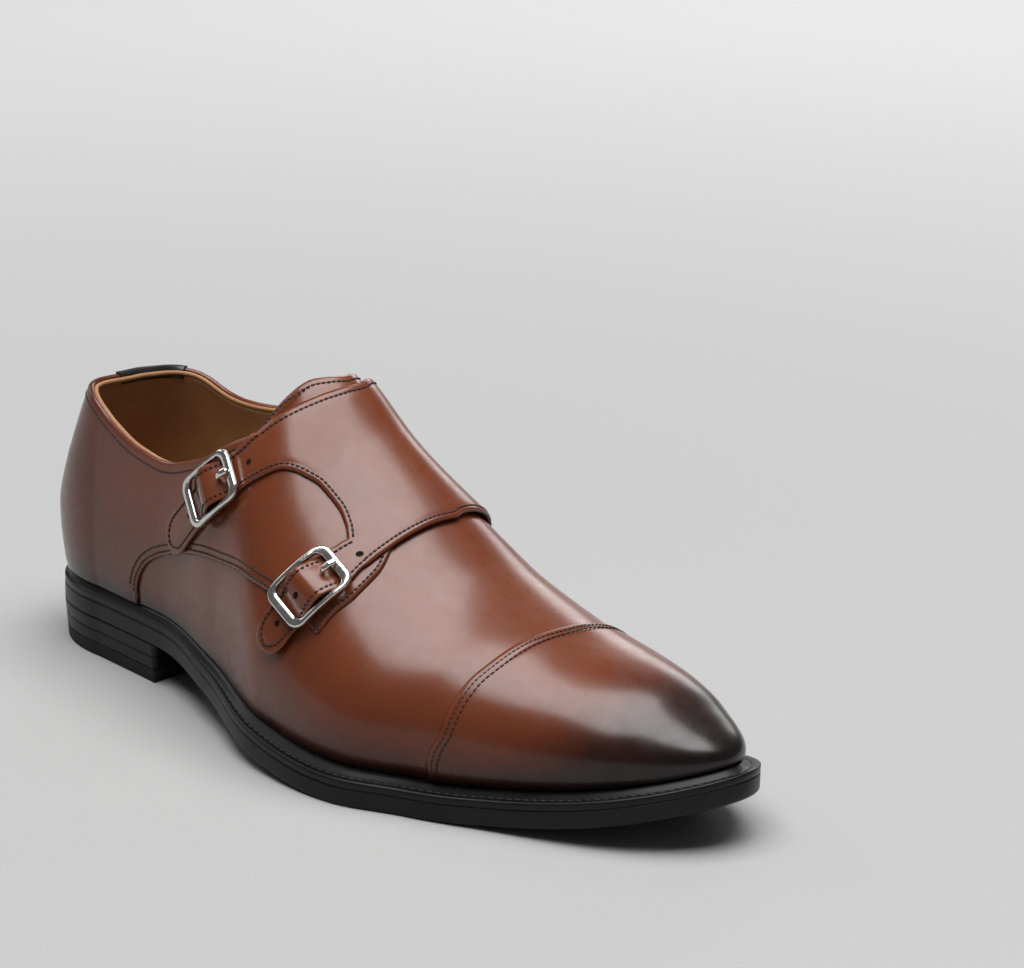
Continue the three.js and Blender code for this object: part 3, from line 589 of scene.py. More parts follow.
def outward(X, W):
    """The surface's unit normal: the cross product of its two tangents."""
    along, over = tangents(X, W)
    n = np.cross(along, over)
    return n / np.maximum(np.linalg.norm(n, axis=-1, keepdims=True), 1e-9)


def raised(X, W, height):
    """The surface moved out along its normal."""
    return on_last(X, W) + outward(X, W) * np.asarray(height)[..., None]


def pattern(side, points):
    """Pattern points (x, t) of one side as rows of X and W. t is the height up a plane that
    leans 60 degrees, and W is found by halving, because t climbs steadily with v."""
    points = np.asarray(points, float)
    x, t = points[..., 0], points[..., 1]
    low, high = np.zeros(x.shape), np.ones(x.shape)
    for _ in range(30):
        v = (low + high) / 2
        place = last(station_at(x), float(side), v)
        under = -side * 0.5 * place[..., 1] + math.sqrt(0.75) * place[..., 2] < t
        low, high = np.where(under, v, low), np.where(under, high, v)
    return np.stack([x, side * (1 - low) * 100], -1)


# The collar's edge: x, its z on the outer side, and how much higher the inner side is.
TOPLINE = np.array(
    [
        (-10, 98, 0), (14, 98, 0), (27, 96, -3), (45, 87.5, -1), (60, 82.8, 3), (75, 81.2, 6),
        (95, 86.5, 5), (115, 98, 3), (130, 104, 2.2), (148, 95, 2.2), (166, 90, 2.2), (176, 90, 2.2),
    ],
    float,
)
topline = smooth_curve(TOPLINE[:, 0], TOPLINE[:, 1])
inner_rise = smooth_curve(TOPLINE[:, 0], TOPLINE[:, 2])


def collar(X, side):
    """W of the collar's edge, where the surface reaches the topline's height, by halving."""
    X, side = np.broadcast_arrays(np.asarray(X, float), np.asarray(side, float))
    low, high = np.zeros(X.shape), np.ones(X.shape)
    inner = (side > 0) * smooth_step(X, BACK_X, 14)
    for _ in range(30):
        v = (low + high) / 2
        place = last(station_at(X), side, v)
        under = place[..., 2] < topline(place[..., 0]) + inner_rise(place[..., 0]) * inner
        low, high = np.where(under, v, low), np.where(under, high, v)
    return side * np.where(low > 0.9999, 0.0, 1 - low) * 100


def set_attribute(piece, name, values):
    """A value for each point of the piece, which its material reads by name."""
    layer = piece.data.attributes.new(name, "FLOAT", "POINT")
    layer.data.foreach_set("value", np.asarray(values, np.float32))


def burnish_and_painted_shade_of(points):
    """Depth of the burnish towards the tip of the cap and round the heel, and painted shade along the
    feather line, each as a smooth step or an exponential, combined as 1 less the product of lights."""
    x, y, z = points[:, 0], points[:, 1], points[:, 2]
    above = np.maximum(z - feather(x), 0)
    toe = 0.95 * smooth_step(x + 0.12 * np.abs(y - 8), 240, 306) ** 1.25
    # Painted shade: a darker band just above the feather line, where the upper turns down to the welt.
    low = 0.80 * np.exp(-above / (5.5 + 6 * smooth_step(x, 200, 300)))
    heel = 0.30 * (1 - smooth_step(x, 6, 78))
    return np.clip(1 - (1 - toe) * (1 - low) * (1 - heel), 0, 1)


def finish_leather(piece, thickness, rim=0):
    """Merges the piece's doubles, marks its burnish and painted shade and gives it its thickness inwards."""
    merged(piece)
    coordinates = np.empty(len(piece.data.vertices) * 3)
    piece.data.vertices.foreach_get("co", coordinates)
    set_attribute(piece, "burnish_and_painted_shade", burnish_and_painted_shade_of(coordinates.reshape(-1, 3) * 1000 - ORIGIN))
    solid = piece.modifiers.new("thickness", "SOLIDIFY")
    solid.thickness = thickness / 1000
    solid.offset = -1
    solid.use_even_offset = False
    solid.material_offset_rim = rim
    return piece


def outward_faces(piece):
    """Turns an open sheet's faces to the outside, judged by its largest side of the shoe."""
    mesh = piece.data
    centres = np.empty(len(mesh.polygons) * 3)
    normals = np.empty(len(mesh.polygons) * 3)
    mesh.polygons.foreach_get("center", centres)
    mesh.polygons.foreach_get("normal", normals)
    centres, normals = centres.reshape(-1, 3), normals.reshape(-1, 3)
    axis = np.broadcast_to((0.0, 0.008, 0.045), centres.shape).copy()
    axis[:, 0] = np.clip(centres[:, 0], -0.11, 0.1)
    if np.sum((centres - axis) * normals) < 0:
        mesh.flip_normals()
    return piece


def skin(name, grow, materials, thickness, count=(60, 150, 70), rows=64):
    """The whole upper as one sheet over the last: both sides from the feather line to the
    collar's edge, and forward of the throat on to the ridge, where they join."""
    X = np.concatenate(
        [
            np.linspace(BACK_X, HEEL_CENTRE, count[0]),
            np.linspace(HEEL_CENTRE, TOE_START, count[1])[1:],
            TIP_X - TOE_RUN * (1 - np.linspace(0, 1, count[2]))[1:] ** 1.15,
        ]
    )
    q = np.linspace(0, 1, rows)
    points, faces = [], []
    for k, side in enumerate((-1, 1)):
        v_top = 1 - np.abs(collar(X, side)) / 100
        v = v_top[:, None] * q[None]
        points.append(last(station_at(X)[:, None], float(side), v, grow).reshape(-1, 3))
        quads = grid_faces(len(X), rows, start=k * len(X) * rows)
        faces.append(quads if side < 0 else quads[:, ::-1])
    piece = new_piece(name, np.concatenate(points), np.concatenate(faces), materials)
    return finish_leather(piece, thickness)


skin("lining_leather", -1.3, [tan_leather], 1.1, (40, 90, 40), 40)

# ---- Vamp ----
# Brown calf lasted over the whole forefoot and carried back under the quarters. It is dyed, burnished by
# hand and polished, so its colour is clouded and it deepens towards the toe and heel; the darkening along
# the feather line is painted shade.


def calf(name, pale, mid, deep, black, roughness=0.30):
    """Burnished calf: the colour runs from pale to black with the mask of burnish and painted shade and a
    soft cloud, over very fine pores and a slight unevenness in the polish."""
    material, tree, surface, place = shader(
        name, roughness, Specular_IOR_Level=0.30, Coat_Weight=0.34, Coat_Roughness=0.20, Coat_IOR=1.5
    )
    # The mask of real burnish at toe and heel and of painted shade along the feather line.
    depth = node(tree, "Attribute", {"attribute_name": "burnish_and_painted_shade"}).outputs["Fac"]
    cloud = node(tree, "TexNoise", Vector=place, Scale=26.0, Detail=5.0, Roughness=0.55, Distortion=0.4)
    mottle = node(tree, "TexNoise", Vector=place, Scale=210.0, Detail=4.0, Roughness=0.6).outputs["Fac"]
    spread = between(tree, cloud.outputs["Fac"], -0.10, 0.12)
    fine = between(tree, mottle, -0.03, 0.03)
    total = node(tree, "Math", {"operation": "ADD"}, i0=depth, i1=spread).outputs["Value"]
    total = node(tree, "Math", {"operation": "ADD"}, i0=total, i1=fine).outputs["Value"]
    stops = [(0.0, pale), (0.28, mid), (0.62, deep), (0.95, black)]
    tree.links.new(ramp(tree, total, stops), surface.inputs["Base Color"])
    rough = between(tree, mottle, roughness - 0.05, roughness + 0.06)
    tree.links.new(rough, surface.inputs["Roughness"])
    pores = node(tree, "TexVoronoi", Vector=place, Scale=1900.0).outputs["Distance"]
    grain = node(tree, "TexNoise", Vector=place, Scale=900.0, Detail=3.0).outputs["Fac"]
    both = node(tree, "Math", {"operation": "MULTIPLY_ADD"}, i0=pores, i1=0.6, i2=grain).outputs["Value"]
    relief = node(tree, "Bump", Height=both, Strength=0.05, Distance=0.0002).outputs["Normal"]
    tree.links.new(relief, surface.inputs["Normal"])
    return material


brown_calf = calf(
    "brown_calf",
    (0.130, 0.0295, 0.0092),
    (0.080, 0.0160, 0.0052),
    (0.023, 0.0050, 0.0023),
    (0.0045, 0.0016, 0.0011),
)
# The cut and inked edge of the same calf, with its fibres showing a little paler.
cut_edge, tree, surface, place = shader("cut_calf_edge", 0.5, Specular_IOR_Level=0.3)
fibre = node(tree, "TexNoise", Vector=place, Scale=1500.0, Detail=3.0).outputs["Fac"]
colour = ramp(tree, fibre, [(0.3, (0.050, 0.015, 0.008)), (0.7, (0.105, 0.036, 0.018))])
tree.links.new(colour, surface.inputs["Base Color"])
relief = node(tree, "Bump", Height=fibre, Strength=0.3, Distance=0.0002).outputs["Normal"]
tree.links.new(relief, surface.inputs["Normal"])



def brown_piece(name, points, faces):
    """A piece of the brown calf with its cut edges."""
    return new_piece(name, points.reshape(-1, 3), faces, [brown_calf, cut_edge])


vamp = skin("vamp", 0.0, [brown_calf], 1.2)
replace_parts(vamp, "upper")

# ---- Quarters, straps and tongue ----
# The outer quarter is one piece of calf from the back seam to its free front edge, stitched
# down on the vamp along an arch. The inner quarter runs on over the instep as a wing that
# ends in two straps. Their edges are skived, folded and stitched, and stand proud.


def chain(*runs):
    """Rows of X and W joined end to end."""
    return np.concatenate([np.asarray(run, float) for run in runs])


def along(rows, share, places=None):
    """A smooth curve through rows of X and W, by chord length or at the given places."""
    if places is None:
        places = np.concatenate([[0], np.cumsum(np.hypot(*np.diff(rows, axis=0).T))])
        places = places / places[-1]
    return np.stack([smooth_curve(places, rows[:, k])(share) for k in (0, 1)], -1)


def nearest(points, lines):
    """Distance from each point to the nearest point of the lines, by the expanded square."""
    line = np.concatenate(lines)
    squares = np.sum(points**2, 1)[:, None] + np.sum(line**2, 1)[None] - 2 * points @ line.T
    return np.sqrt(np.maximum(squares.min(1), 0))


def rolled(distance, radius=1.1):
    """How full the thickness is at a distance from an edge: a quarter circle up to 1."""
    s = np.clip(distance / radius, 0, 1)
    return np.sqrt(np.maximum(1 - (1 - s) ** 2, 0))


def groove(distance, place, width=0.9):
    """A soft trough along a stitch row that lies at one distance from the edge."""
    return np.exp(-(((distance - place) / width) ** 2))


ROW_IN = 2.4
CALF = 1.1
WING = 2.6
WING_THICK = 1.5


def sheet_height(X, W, base, edges, row=ROW_IN, drop=0.75, dip=0.16):
    """Height of a sheet: its base, rolled down at its free edges, with a trough where the
    stitches draw it down."""
    away = nearest(on_last(X, W).reshape(-1, 3), [on_last(e[:, 0], e[:, 1]) for e in edges]).reshape(X.shape)
    return base - drop * (1 - rolled(away)) - dip * groove(away, row)


def beside(path, distance):
    """The path moved sideways over the surface by a distance, to its left seen from outside,
    by two Newton steps in X and W."""
    start = on_last(path[:, 0], path[:, 1])
    heading = np.gradient(start, axis=0)
    heading /= np.linalg.norm(heading, axis=1, keepdims=True)
    target = start + np.cross(outward(path[:, 0], path[:, 1]), heading) * distance
    moved = path.copy()
    for _ in range(3):
        ahead, over = tangents(moved[:, 0], moved[:, 1])
        off = target - on_last(moved[:, 0], moved[:, 1])
        aa, bb, ab = np.sum(ahead**2, 1), np.sum(over**2, 1), np.sum(ahead * over, 1)
        da, db = np.sum(ahead * off, 1), np.sum(over * off, 1)
        det = aa * bb - ab**2
        moved = moved + np.stack([(bb * da - ab * db) / det, (aa * db - ab * da) / det], -1)
    return moved


def row_on(path, height):
    """Points and normals of a stitch row along a path of X and W."""
    return raised(path[:, 0], path[:, 1], np.full(len(path), height)), outward(path[:, 0], path[:, 1])


# The arch where each quarter is stitched down on the vamp, from the feather line forward.
ARCH_OUTER = [
    (61.5, 10.5), (62.5, 14.5), (68, 21.7), (76, 25.9), (87, 28.7), (97, 30.2),
    (108, 30.7), (121, 30.2), (137, 28.5), (151, 26), (163, 22.5), (174, 18.7),
]
FRONT_OUTER = [(176, 26.4), (179, 34.2), (180, 43.9), (178, 52.2), (174, 60)]
HIDDEN_OUTER = [(118, 72), (130, 77), (145, 74), (160, 68), (174, 60)]
ARCH_INNER = [
    (61, 12), (62.5, 16.5), (67, 23), (75, 28.5), (85, 32), (96, 33.9),
    (109, 34.2), (123, 32.6), (140, 29.6), (152, 25.6), (158.5, 23.8),
]
# The wing's front and rear edges on from there, up to the ridge and down the outer side.
WING_FRONT_INNER = [(160.3, 24.2), (162, 27), (167, 35.5), (173, 45), (177.3, 55), (179.3, 64)]
WING_REAR_INNER = [(104.5, 68), (107, 70.5), (113, 76.5), (120, 82.6), (126.5, 88), (131.5, 93.5)]
WING_FRONT_OUTER = [(179.2, 66.5), (178.3, 59.5), (177.4, 52)]


def outer_quarter():
    """The outer quarter ruled upwards: below, the feather line and the arch; above, the
    collar and an edge hidden under the wing; in front, its own free edge blended in."""
    heel = np.stack([np.linspace(BACK_X, 61, 12), np.full(12, -100.0)], -1)
    bottom = chain(heel, pattern(-1, ARCH_OUTER))
    share = np.linspace(0, 1, 230)
    low = along(bottom, share)
    hidden = pattern(-1, HIDDEN_OUTER)
    top_x = low[:, 0] + 0.0
    top_w = np.where(top_x < 118, collar(top_x, -1), np.interp(top_x, hidden[:, 0], hidden[:, 1]))
    q = np.linspace(0, 1, 66) ** 0.92
    X = low[:, :1] + (top_x - low[:, 0])[:, None] * q
    W = low[:, 1:] + (top_w - low[:, 1])[:, None] * q
    front = along(chain(low[-1:], pattern(-1, FRONT_OUTER)), q)
    blend = smooth_step(low[:, 0], 140, 174)[:, None]
    X = X + blend * (front[None, :, 0] - X[-1:])
    W = W + blend * (front[None, :, 1] - W[-1:])
    arch = along(pattern(-1, ARCH_OUTER), np.linspace(0, 1, 300))
    edges = [arch, front]
    height = sheet_height(X, W, CALF, edges)
    faces = grid_faces(*X.shape)
    piece = brown_piece("outer_quarter", raised(X, W, height), faces)
    return finish_leather(outward_faces(piece), 1.0, rim=1), arch, front


quarter, arch_outer, front_outer = outer_quarter()

# The straps: root on the wing, tip, and the buckle's place along each, with the half widths
# behind and in front of the middle line at the root.
STRAP_HALF = 7.1
STRAPS = {
    "upper": {"root": (127.5, 67.5), "tip": (85.4, 31.4), "buckle": 22.5, "behind": 9.4, "before": 7.1},
    "lower": {"root": (172.5, 47.5), "tip": (155, 8.5), "buckle": 17.5, "behind": 7.1, "before": 4.4},
}
TIP_ROUND = 8
TIP_POWER = 2.2
HUMP_RISE = 4.6
HUMP_HALF = 10


def strap_place(strap, s, q):
    """Pattern x and t at s along a strap and q across it, positive towards the toe side."""
    root, tip = np.array(strap["root"], float), np.array(strap["tip"], float)
    run = (tip - root) / np.linalg.norm(tip - root)
    across = np.array([-run[1], run[0]])
    s, q = np.broadcast_arrays(np.asarray(s, float), np.asarray(q, float))
    return root + s[..., None] * run + q[..., None] * across


def strap_length(strap):
    """Distance from root to tip."""
    return math.dist(strap["root"], strap["tip"])


def hump(s, strap):
    """The strap's rise over the buckle's bar: a raised cosine."""
    share = np.clip(np.abs(s - strap["buckle"]) / HUMP_HALF, 0, 1)
    return HUMP_RISE * (1 + np.cos(math.pi * share)) / 2


def strap_side(strap, s, sign):
    """Half width at s: it narrows from the root to the strap's own width, and the tip closes
    as a superellipse."""
    root_half = strap["behind"] if sign < 0 else strap["before"]
    half = STRAP_HALF + (root_half - STRAP_HALF) * np.exp(-((s / 6.0) ** 1.5))
    end = np.clip((s - strap_length(strap) + TIP_ROUND) / TIP_ROUND, 0, 1)
    return half * np.maximum(1 - end**TIP_POWER, 0.0) ** (1 / TIP_POWER)


def root_line(strap, count):
    """X and W across the strap's root, from the side behind to the side in front."""
    q = np.linspace(-strap["behind"], strap["before"], count)
    return pattern(-1, strap_place(strap, 0, q))


REAR_OUTER = [(133.9, 98), (131.6, 92.2), (128.6, 86.5), (125.2, 80.2)]
CUTOUT = [(136.5, 65.2), (142.5, 65.4), (149.5, 63.6), (157, 59.4), (162.6, 54.6)]
ROOT_CELLS = 14
CUT_CELLS = 70


def wing():
    """Inner quarter and wing as one band ruled between matched curves: the arch and the front
    edge on one hand, the collar and the rear edge on the other. Its far end is fitted to the
    two strap roots and the cut-out between them, and the straps grow on from the roots."""
    upper, lower = STRAPS["upper"], STRAPS["lower"]
    heel_x = np.linspace(BACK_X, 60, 9)
    near = chain(np.stack([heel_x, np.full(9, 100.0)], -1), pattern(1, ARCH_INNER))
    far_x = np.concatenate([heel_x, [60.5, 61.5, 64.5, 70, 76.5, 82, 87.5, 92, 96.5, 100, 102.5]])
    far = np.stack([far_x, collar(far_x, 1)], -1)
    near = chain(near, pattern(1, WING_FRONT_INNER))
    far = chain(far, pattern(1, WING_REAR_INNER))
    near = chain(near, [(180, 0)], pattern(-1, WING_FRONT_OUTER), root_line(lower, 3)[-1:])
    far = chain(far, [(134.6, 0)], pattern(-1, REAR_OUTER[:3]), root_line(upper, 3)[:1])
    chords = np.hypot(*np.diff(near, axis=0).T) + np.hypot(*np.diff(far, axis=0).T)
    places = np.concatenate([[0], np.cumsum(chords)])
    places /= places[-1]
    share = np.linspace(0, 1, 300)
    near_line, far_line = along(near, share, places), along(far, share, places)
    roots = root_line(lower, ROOT_CELLS + 1)[::-1], root_line(upper, ROOT_CELLS + 1)[::-1]
    between_roots = chain(roots[0][-1:], pattern(-1, CUTOUT)[::-1], roots[1][:1])
    cut = along(between_roots, np.linspace(0, 1, CUT_CELLS + 1))
    end = chain(roots[0], cut[1:-1], roots[1])
    run = np.concatenate([[0], np.cumsum(np.hypot(*np.diff(end, axis=0).T))])
    q = run / run[-1]
    band = near_line[:, None] * (1 - q)[None, :, None] + far_line[:, None] * q[None, :, None]
    blend = smooth_step(share, 0.55, 1.0)[:, None, None]
    band = band + blend * (end - band[-1])[None]
    X, W = band[..., 0], band[..., 1]
    arch = near_line[(near_line[:, 0] > 61)]
    rear = far_line[far_line[:, 0] > 98]
    return X, W, cut, arch, rear


wing_X, wing_W, cut_line, front_inner, rear_line = wing()


def down_strap(length, straight, round_tip):
    """Places along a strap, even to where its tip starts to close, then as a sine."""
    turn = np.linspace(0, 1, round_tip)[1:] * math.pi / 2
    even = np.linspace(0, length - TIP_ROUND, straight)
    return np.concatenate([even, length - TIP_ROUND * (1 - np.sin(turn))])


def strap_outline(strap, inside=0.0):
    """X, W, s and q round a strap's free edge, in front, round the tip and back behind,
    moved in by a margin."""
    length = strap_length(strap) - inside
    s = down_strap(length, 60, 30)
    stretched = s + inside * smooth_step(s, length - 2 * TIP_ROUND, length)
    before = np.maximum(strap_side(strap, stretched, 1) - inside, 0)
    behind = np.maximum(strap_side(strap, stretched, -1) - inside, 0)
    s_all = np.concatenate([s, s[::-1]])
    q_all = np.concatenate([before, -behind[::-1]])
    return s_all, q_all


def strap_points(strap, s, q, lift):
    """Points of a strap's upper face: the surface under it, out by the wing's height, the
    hump and a lift."""
    place = pattern(-1, strap_place(strap, s, q))
    return raised(place[..., 0], place[..., 1], WING + hump(s, strap) + lift)


def wing_piece():
    """The band and its two straps joined on their shared root points."""
    strap_edges = []
    for strap in STRAPS.values():
        s, q = strap_outline(strap)
        strap_edges.append(pattern(-1, strap_place(strap, s, q)))
    edges = [front_inner, rear_line, cut_line] + strap_edges
    rise = smooth_step(np.linspace(0, 1, len(wing_X)), 0.42, 0.62)[:, None]
    base = CALF + (WING - CALF) * rise
    height = sheet_height(wing_X, wing_W, base, edges)
    points = [raised(wing_X, wing_W, height).reshape(-1, 3)]
    faces = [grid_faces(*wing_X.shape)]
    total = wing_X.size
    for strap in STRAPS.values():
        length = strap_length(strap)
        rows = down_strap(length, 70, 16)
        share = np.linspace(-1, 1, ROOT_CELLS + 1)
        linear = (share + 1) / 2 * (strap["behind"] + strap["before"]) - strap["behind"]
        eased = np.sign(share) * (1 - (1 - np.abs(share)) ** 1.35)
        behind, before = strap_side(strap, rows, -1), strap_side(strap, rows, 1)
        sides = np.where(share[None] < 0, behind[:, None], before[:, None])
        mix = smooth_step(rows, 0, 8)[:, None]
        q = linear[None] * (1 - mix) + eased[None] * sides * mix
        s = np.broadcast_to(rows[:, None], q.shape)
        place = pattern(-1, strap_place(strap, s, q))
        lift = sheet_height(place[..., 0], place[..., 1], 0.0, edges)
        points.append(strap_points(strap, s, q, lift).reshape(-1, 3))
        faces.append(grid_faces(*q.shape, start=total)[:, ::-1])
        total += q.size
    piece = brown_piece("wing_and_straps", np.concatenate(points), np.concatenate(faces))
    merged(piece, 3e-5)
    return finish_leather(outward_faces(piece), WING_THICK, rim=1)


wing_leather = wing_piece()
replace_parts(wing_leather, "strap_panel")

# The tongue is of the same brown calf, cut in one with the vamp. It lies under the wing and
# over the instep, its sides inside the quarters, and its rear edge is folded and stitched.
TONGUE_EDGE = {
    -1: [(113, 68), (118, 77.1), (120.5, 86.1), (123, 92.1), (125.5, 97.7), (128.5, 101.5)],
    1: [(129.5, 98.5), (127, 95.5), (123, 93), (118, 88.5), (111, 82.2), (106, 75)],
}
TONGUE_FRONT = 180


def tongue_piece():
    """The tongue ruled forward from its rear edge, highest at the ridge and lower towards its
    sides, where it slips inside the quarters."""
    rear = chain(pattern(-1, TONGUE_EDGE[-1]), [(130.3, 0)], pattern(1, TONGUE_EDGE[1]))
    edge = along(rear, np.linspace(0, 1, 140))
    q = np.linspace(0, 1, 60)
    X = edge[:, :1] + (TONGUE_FRONT - edge[:, :1]) * q
    W = edge[:, 1:] * (1 - 0.12 * q)
    depth = -0.5 - 2.6 * smooth_step(np.abs(W), 14, 34)
    height = sheet_height(X, W, depth, [edge], drop=0.5)
    faces = grid_faces(*X.shape)
    piece = brown_piece("tongue_leather", raised(X, W, height), faces)
    return finish_leather(outward_faces(piece), 1.8, rim=1), edge


tongue, tongue_edge = tongue_piece()
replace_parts(tongue, "tongue")

# ---- Toe cap ----
# A second layer of calf over the toe, its rear edge cut in a shallow bow, folded and held by
# a double row of stitches.

CAP_V = (0, 0.19, 0.30, 0.42, 0.54, 0.67, 0.82, 1)
CAP_OUTER = (217, 219, 222, 223, 224, 226, 227.5, 230)
CAP_INNER = (216, 218.5, 221.5, 224, 227, 229.5, 230.5, 230)
CAP = 0.9


def pattern_x(x):
    """X of a place x round the toe, by undoing the toe's superellipse."""
    tip = LENGTH - plan["inset"](305.0)
    reach = np.clip((x - tip + TOE_LENGTH) / TOE_LENGTH, 0, 1)
    turn = np.arcsin(reach ** (TOE_ROUND / 2)) * 2 / math.pi
    return TOE_START + TOE_RUN * turn + np.minimum(x - TOE_START, 0)


def cap_edge(W):
    """X of the cap's rear edge over W."""
    v = 1 - np.abs(W) / 100
    outer = smooth_curve(np.array(CAP_V), np.array(CAP_OUTER, float))(v)
    inner = smooth_curve(np.array(CAP_V), np.array(CAP_INNER, float))(v)
    return pattern_x(np.where(W < 0, outer, inner))


cap_W = np.linspace(-100, 100, 190)
cap_line = np.stack([cap_edge(cap_W), cap_W], -1)
cap_q = np.linspace(0, 1, 110) ** 1.15
cap_X = cap_line[:, :1] + (TIP_X - cap_line[:, :1]) * cap_q
cap_places = on_last(cap_X, cap_W[:, None]).reshape(-1, 3)
cap_away = nearest(cap_places, [on_last(cap_line[:, 0], cap_W)]).reshape(cap_X.shape)
cap_height = CAP - 0.55 * (1 - rolled(cap_away, 0.8))
cap_height = cap_height - 0.18 * groove(cap_away, 3.2, 0.8) - 0.10 * groove(cap_away, 1.6, 0.5)
# A soft trough behind the crown of the toe, and the crown itself.
saddle = np.exp(-(((cap_X - 238) / 9) ** 2) - ((cap_W[:, None] + 4) / 26) ** 2)
crown = np.exp(-(((cap_X - 262) / 12) ** 2) - ((cap_W[:, None] + 10) / 24) ** 2)
cap_height = cap_height - 0.75 * saddle + 0.35 * crown
cap_points = on_last(cap_X, np.broadcast_to(cap_W[:, None], cap_X.shape), cap_height)
cap = brown_piece("toe_cap", cap_points, grid_faces(*cap_X.shape))
finish_leather(outward_faces(cap), 0.75, rim=1)

# ---- Collar ----
# The quarters' top edge is folded over a tape into a bead, and the tan lining's edge is turned
# up inside it and sewn down.


def rim_tube(name, centre, half_width, half_height, lift, material, reach=136):
    """A closed bead along the collar: an ellipse across the wall, half_width by half_height,
    round the top of the edge at a place through the wall and a lift above it."""
    X = np.concatenate([np.linspace(reach, HEEL_CENTRE, 110), np.linspace(HEEL_CENTRE, BACK_X, 50)[1:]])
    sides = np.concatenate([np.full(len(X), -1.0), np.full(len(X) - 1, 1.0)])
    X = np.concatenate([X, X[::-1][1:]])
    v = 1 - np.abs(collar(X, sides)) / 100
    u = station_at(X)
    edge = last(u, sides, v, 0.0)
    below = last(u, sides, v - 0.02, 0.0)
    rise = edge - below
    rise /= np.linalg.norm(rise, axis=1, keepdims=True)
    forward = np.gradient(edge, axis=0)
    out = np.cross(rise, forward)
    out /= np.linalg.norm(out, axis=1, keepdims=True)
    out *= np.sign(np.sum(out * (last(u, sides, v, 1.0) - edge), 1, keepdims=True))
    turn = np.linspace(0, 2 * math.pi, 14, endpoint=False)
    g, h = centre + half_width * np.cos(turn), lift + half_height * np.sin(turn)
    rings = edge[:, None] + out[:, None] * g[None, :, None] + rise[:, None] * h[None, :, None]
    ends = np.stack([rings[0].mean(0), rings[-1].mean(0)])
    rings = np.concatenate([np.repeat(ends[:1, None], 14, 1), rings, np.repeat(ends[1:, None], 14, 1)])
    faces = grid_faces(len(rings), 14, loop_columns=True)
    piece = new_piece(name, rings.reshape(-1, 3), faces, [material])
    merged(piece)
    coordinates = np.empty(len(piece.data.vertices) * 3)
    piece.data.vertices.foreach_get("co", coordinates)
    # The same mask of burnish and painted shade along the feather line as the other brown pieces.
    set_attribute(piece, "burnish_and_painted_shade", burnish_and_painted_shade_of(coordinates.reshape(-1, 3) * 1000 - ORIGIN))
    return piece


rim_tube("collar_fold", 0.1, 1.05, 1.0, 0.0, brown_calf)
rim_tube("lining_edge", -1.75, 0.8, 0.9, -0.15, tan_leather)

# The back tab: a strip of black calf folded over the top of the back seam. Outside it tapers
# down the seam, and along the inner side it runs on as a narrow binding of the edge.
black_calf = calf(
    "black_calf",
    (0.010, 0.009, 0.0085),
    (0.007, 0.0065, 0.006),
    (0.005, 0.0045, 0.0045),
    (0.003, 0.0025, 0.0025),
    0.42,
)
TAB_REACH = (13, 42)
TAB_DEPTH = 14


def back_tab():
    """The tab as one sheet: each row climbs outside from a tapering lower edge, bends over
    the collar as half an ellipse, and ends just inside it."""
    a = np.linspace(-1, 1, 61)
    side = np.where(a < 0, -1.0, 1.0)
    X = BACK_X + np.abs(a) * np.where(a < 0, TAB_REACH[0], TAB_REACH[1])
    v_top = 1 - np.abs(collar(X, side)) / 100
    u = station_at(X)
    edge = last(u, side, v_top)
    rise = edge - last(u, side, v_top - 0.02)
    rise /= np.linalg.norm(rise, axis=1, keepdims=True)
    out = last(u, side, v_top, 1.0) - edge
    out /= np.linalg.norm(out, axis=1, keepdims=True)
    run = np.linalg.norm(last(u, side, v_top) - last(u, side, v_top - 0.1), axis=1) / 0.1
    depth = TAB_DEPTH * np.maximum(1 - np.abs(X - BACK_X) / 13, 0) ** 1.5 + 1.2
    q = np.linspace(1, 0, 16)
    outside = last(u[:, None], side[:, None], v_top[:, None] - (depth / run)[:, None] * q, 1.45)
    turn = np.linspace(0, math.pi, 14)[1:-1]
    g, h = -0.65 + 2.1 * np.cos(turn), 1.35 * np.sin(turn)
    over = edge[:, None] + out[:, None] * g[None, :, None] + rise[:, None] * h[None, :, None]
    inner = np.linspace(0, 1, 4)
    inside = last(u[:, None], side[:, None], v_top[:, None] - (1.0 / run)[:, None] * inner, -2.75)
    rows = np.concatenate([outside, over, inside], 1)
    faces = grid_faces(*rows.shape[:2])
    piece = new_piece("back_tab", rows.reshape(-1, 3), faces, [black_calf])
    merged(piece)
    set_attribute(piece, "burnish_and_painted_shade", np.full(len(piece.data.vertices), 0.3))
    solid = piece.modifiers.new("thickness", "SOLIDIFY")
    solid.thickness = 0.0006
    solid.offset = 0
    return piece


back_tab()

# ---- Stitching ----
# Fine waxed thread in the leather's own brown, one row beside each free edge and two where
# the quarters are sewn down and at the toe cap.

brown_thread = thread("brown_thread", (0.030, 0.0095, 0.0052))
STITCH = (0.80, 0.44, 0.32)
PITCH = 1.85


def inner_row(path, distance, height, trim=(0, 1), count=600):
    """A stitch row at a distance to the left of a path, over part of its length."""
    smooth = along(path, np.linspace(*trim, count))
    return row_on(beside(smooth, distance), height)


def strap_row(strap):
    """A row just inside a strap's edge, down one side, round the tip and up the other."""
    s, q = strap_outline(strap, 1.9)
    points = strap_points(strap, s, q, 0.0)
    place = pattern(-1, strap_place(strap, s, q))
    return points, outward(place[:, 0], place[:, 1])


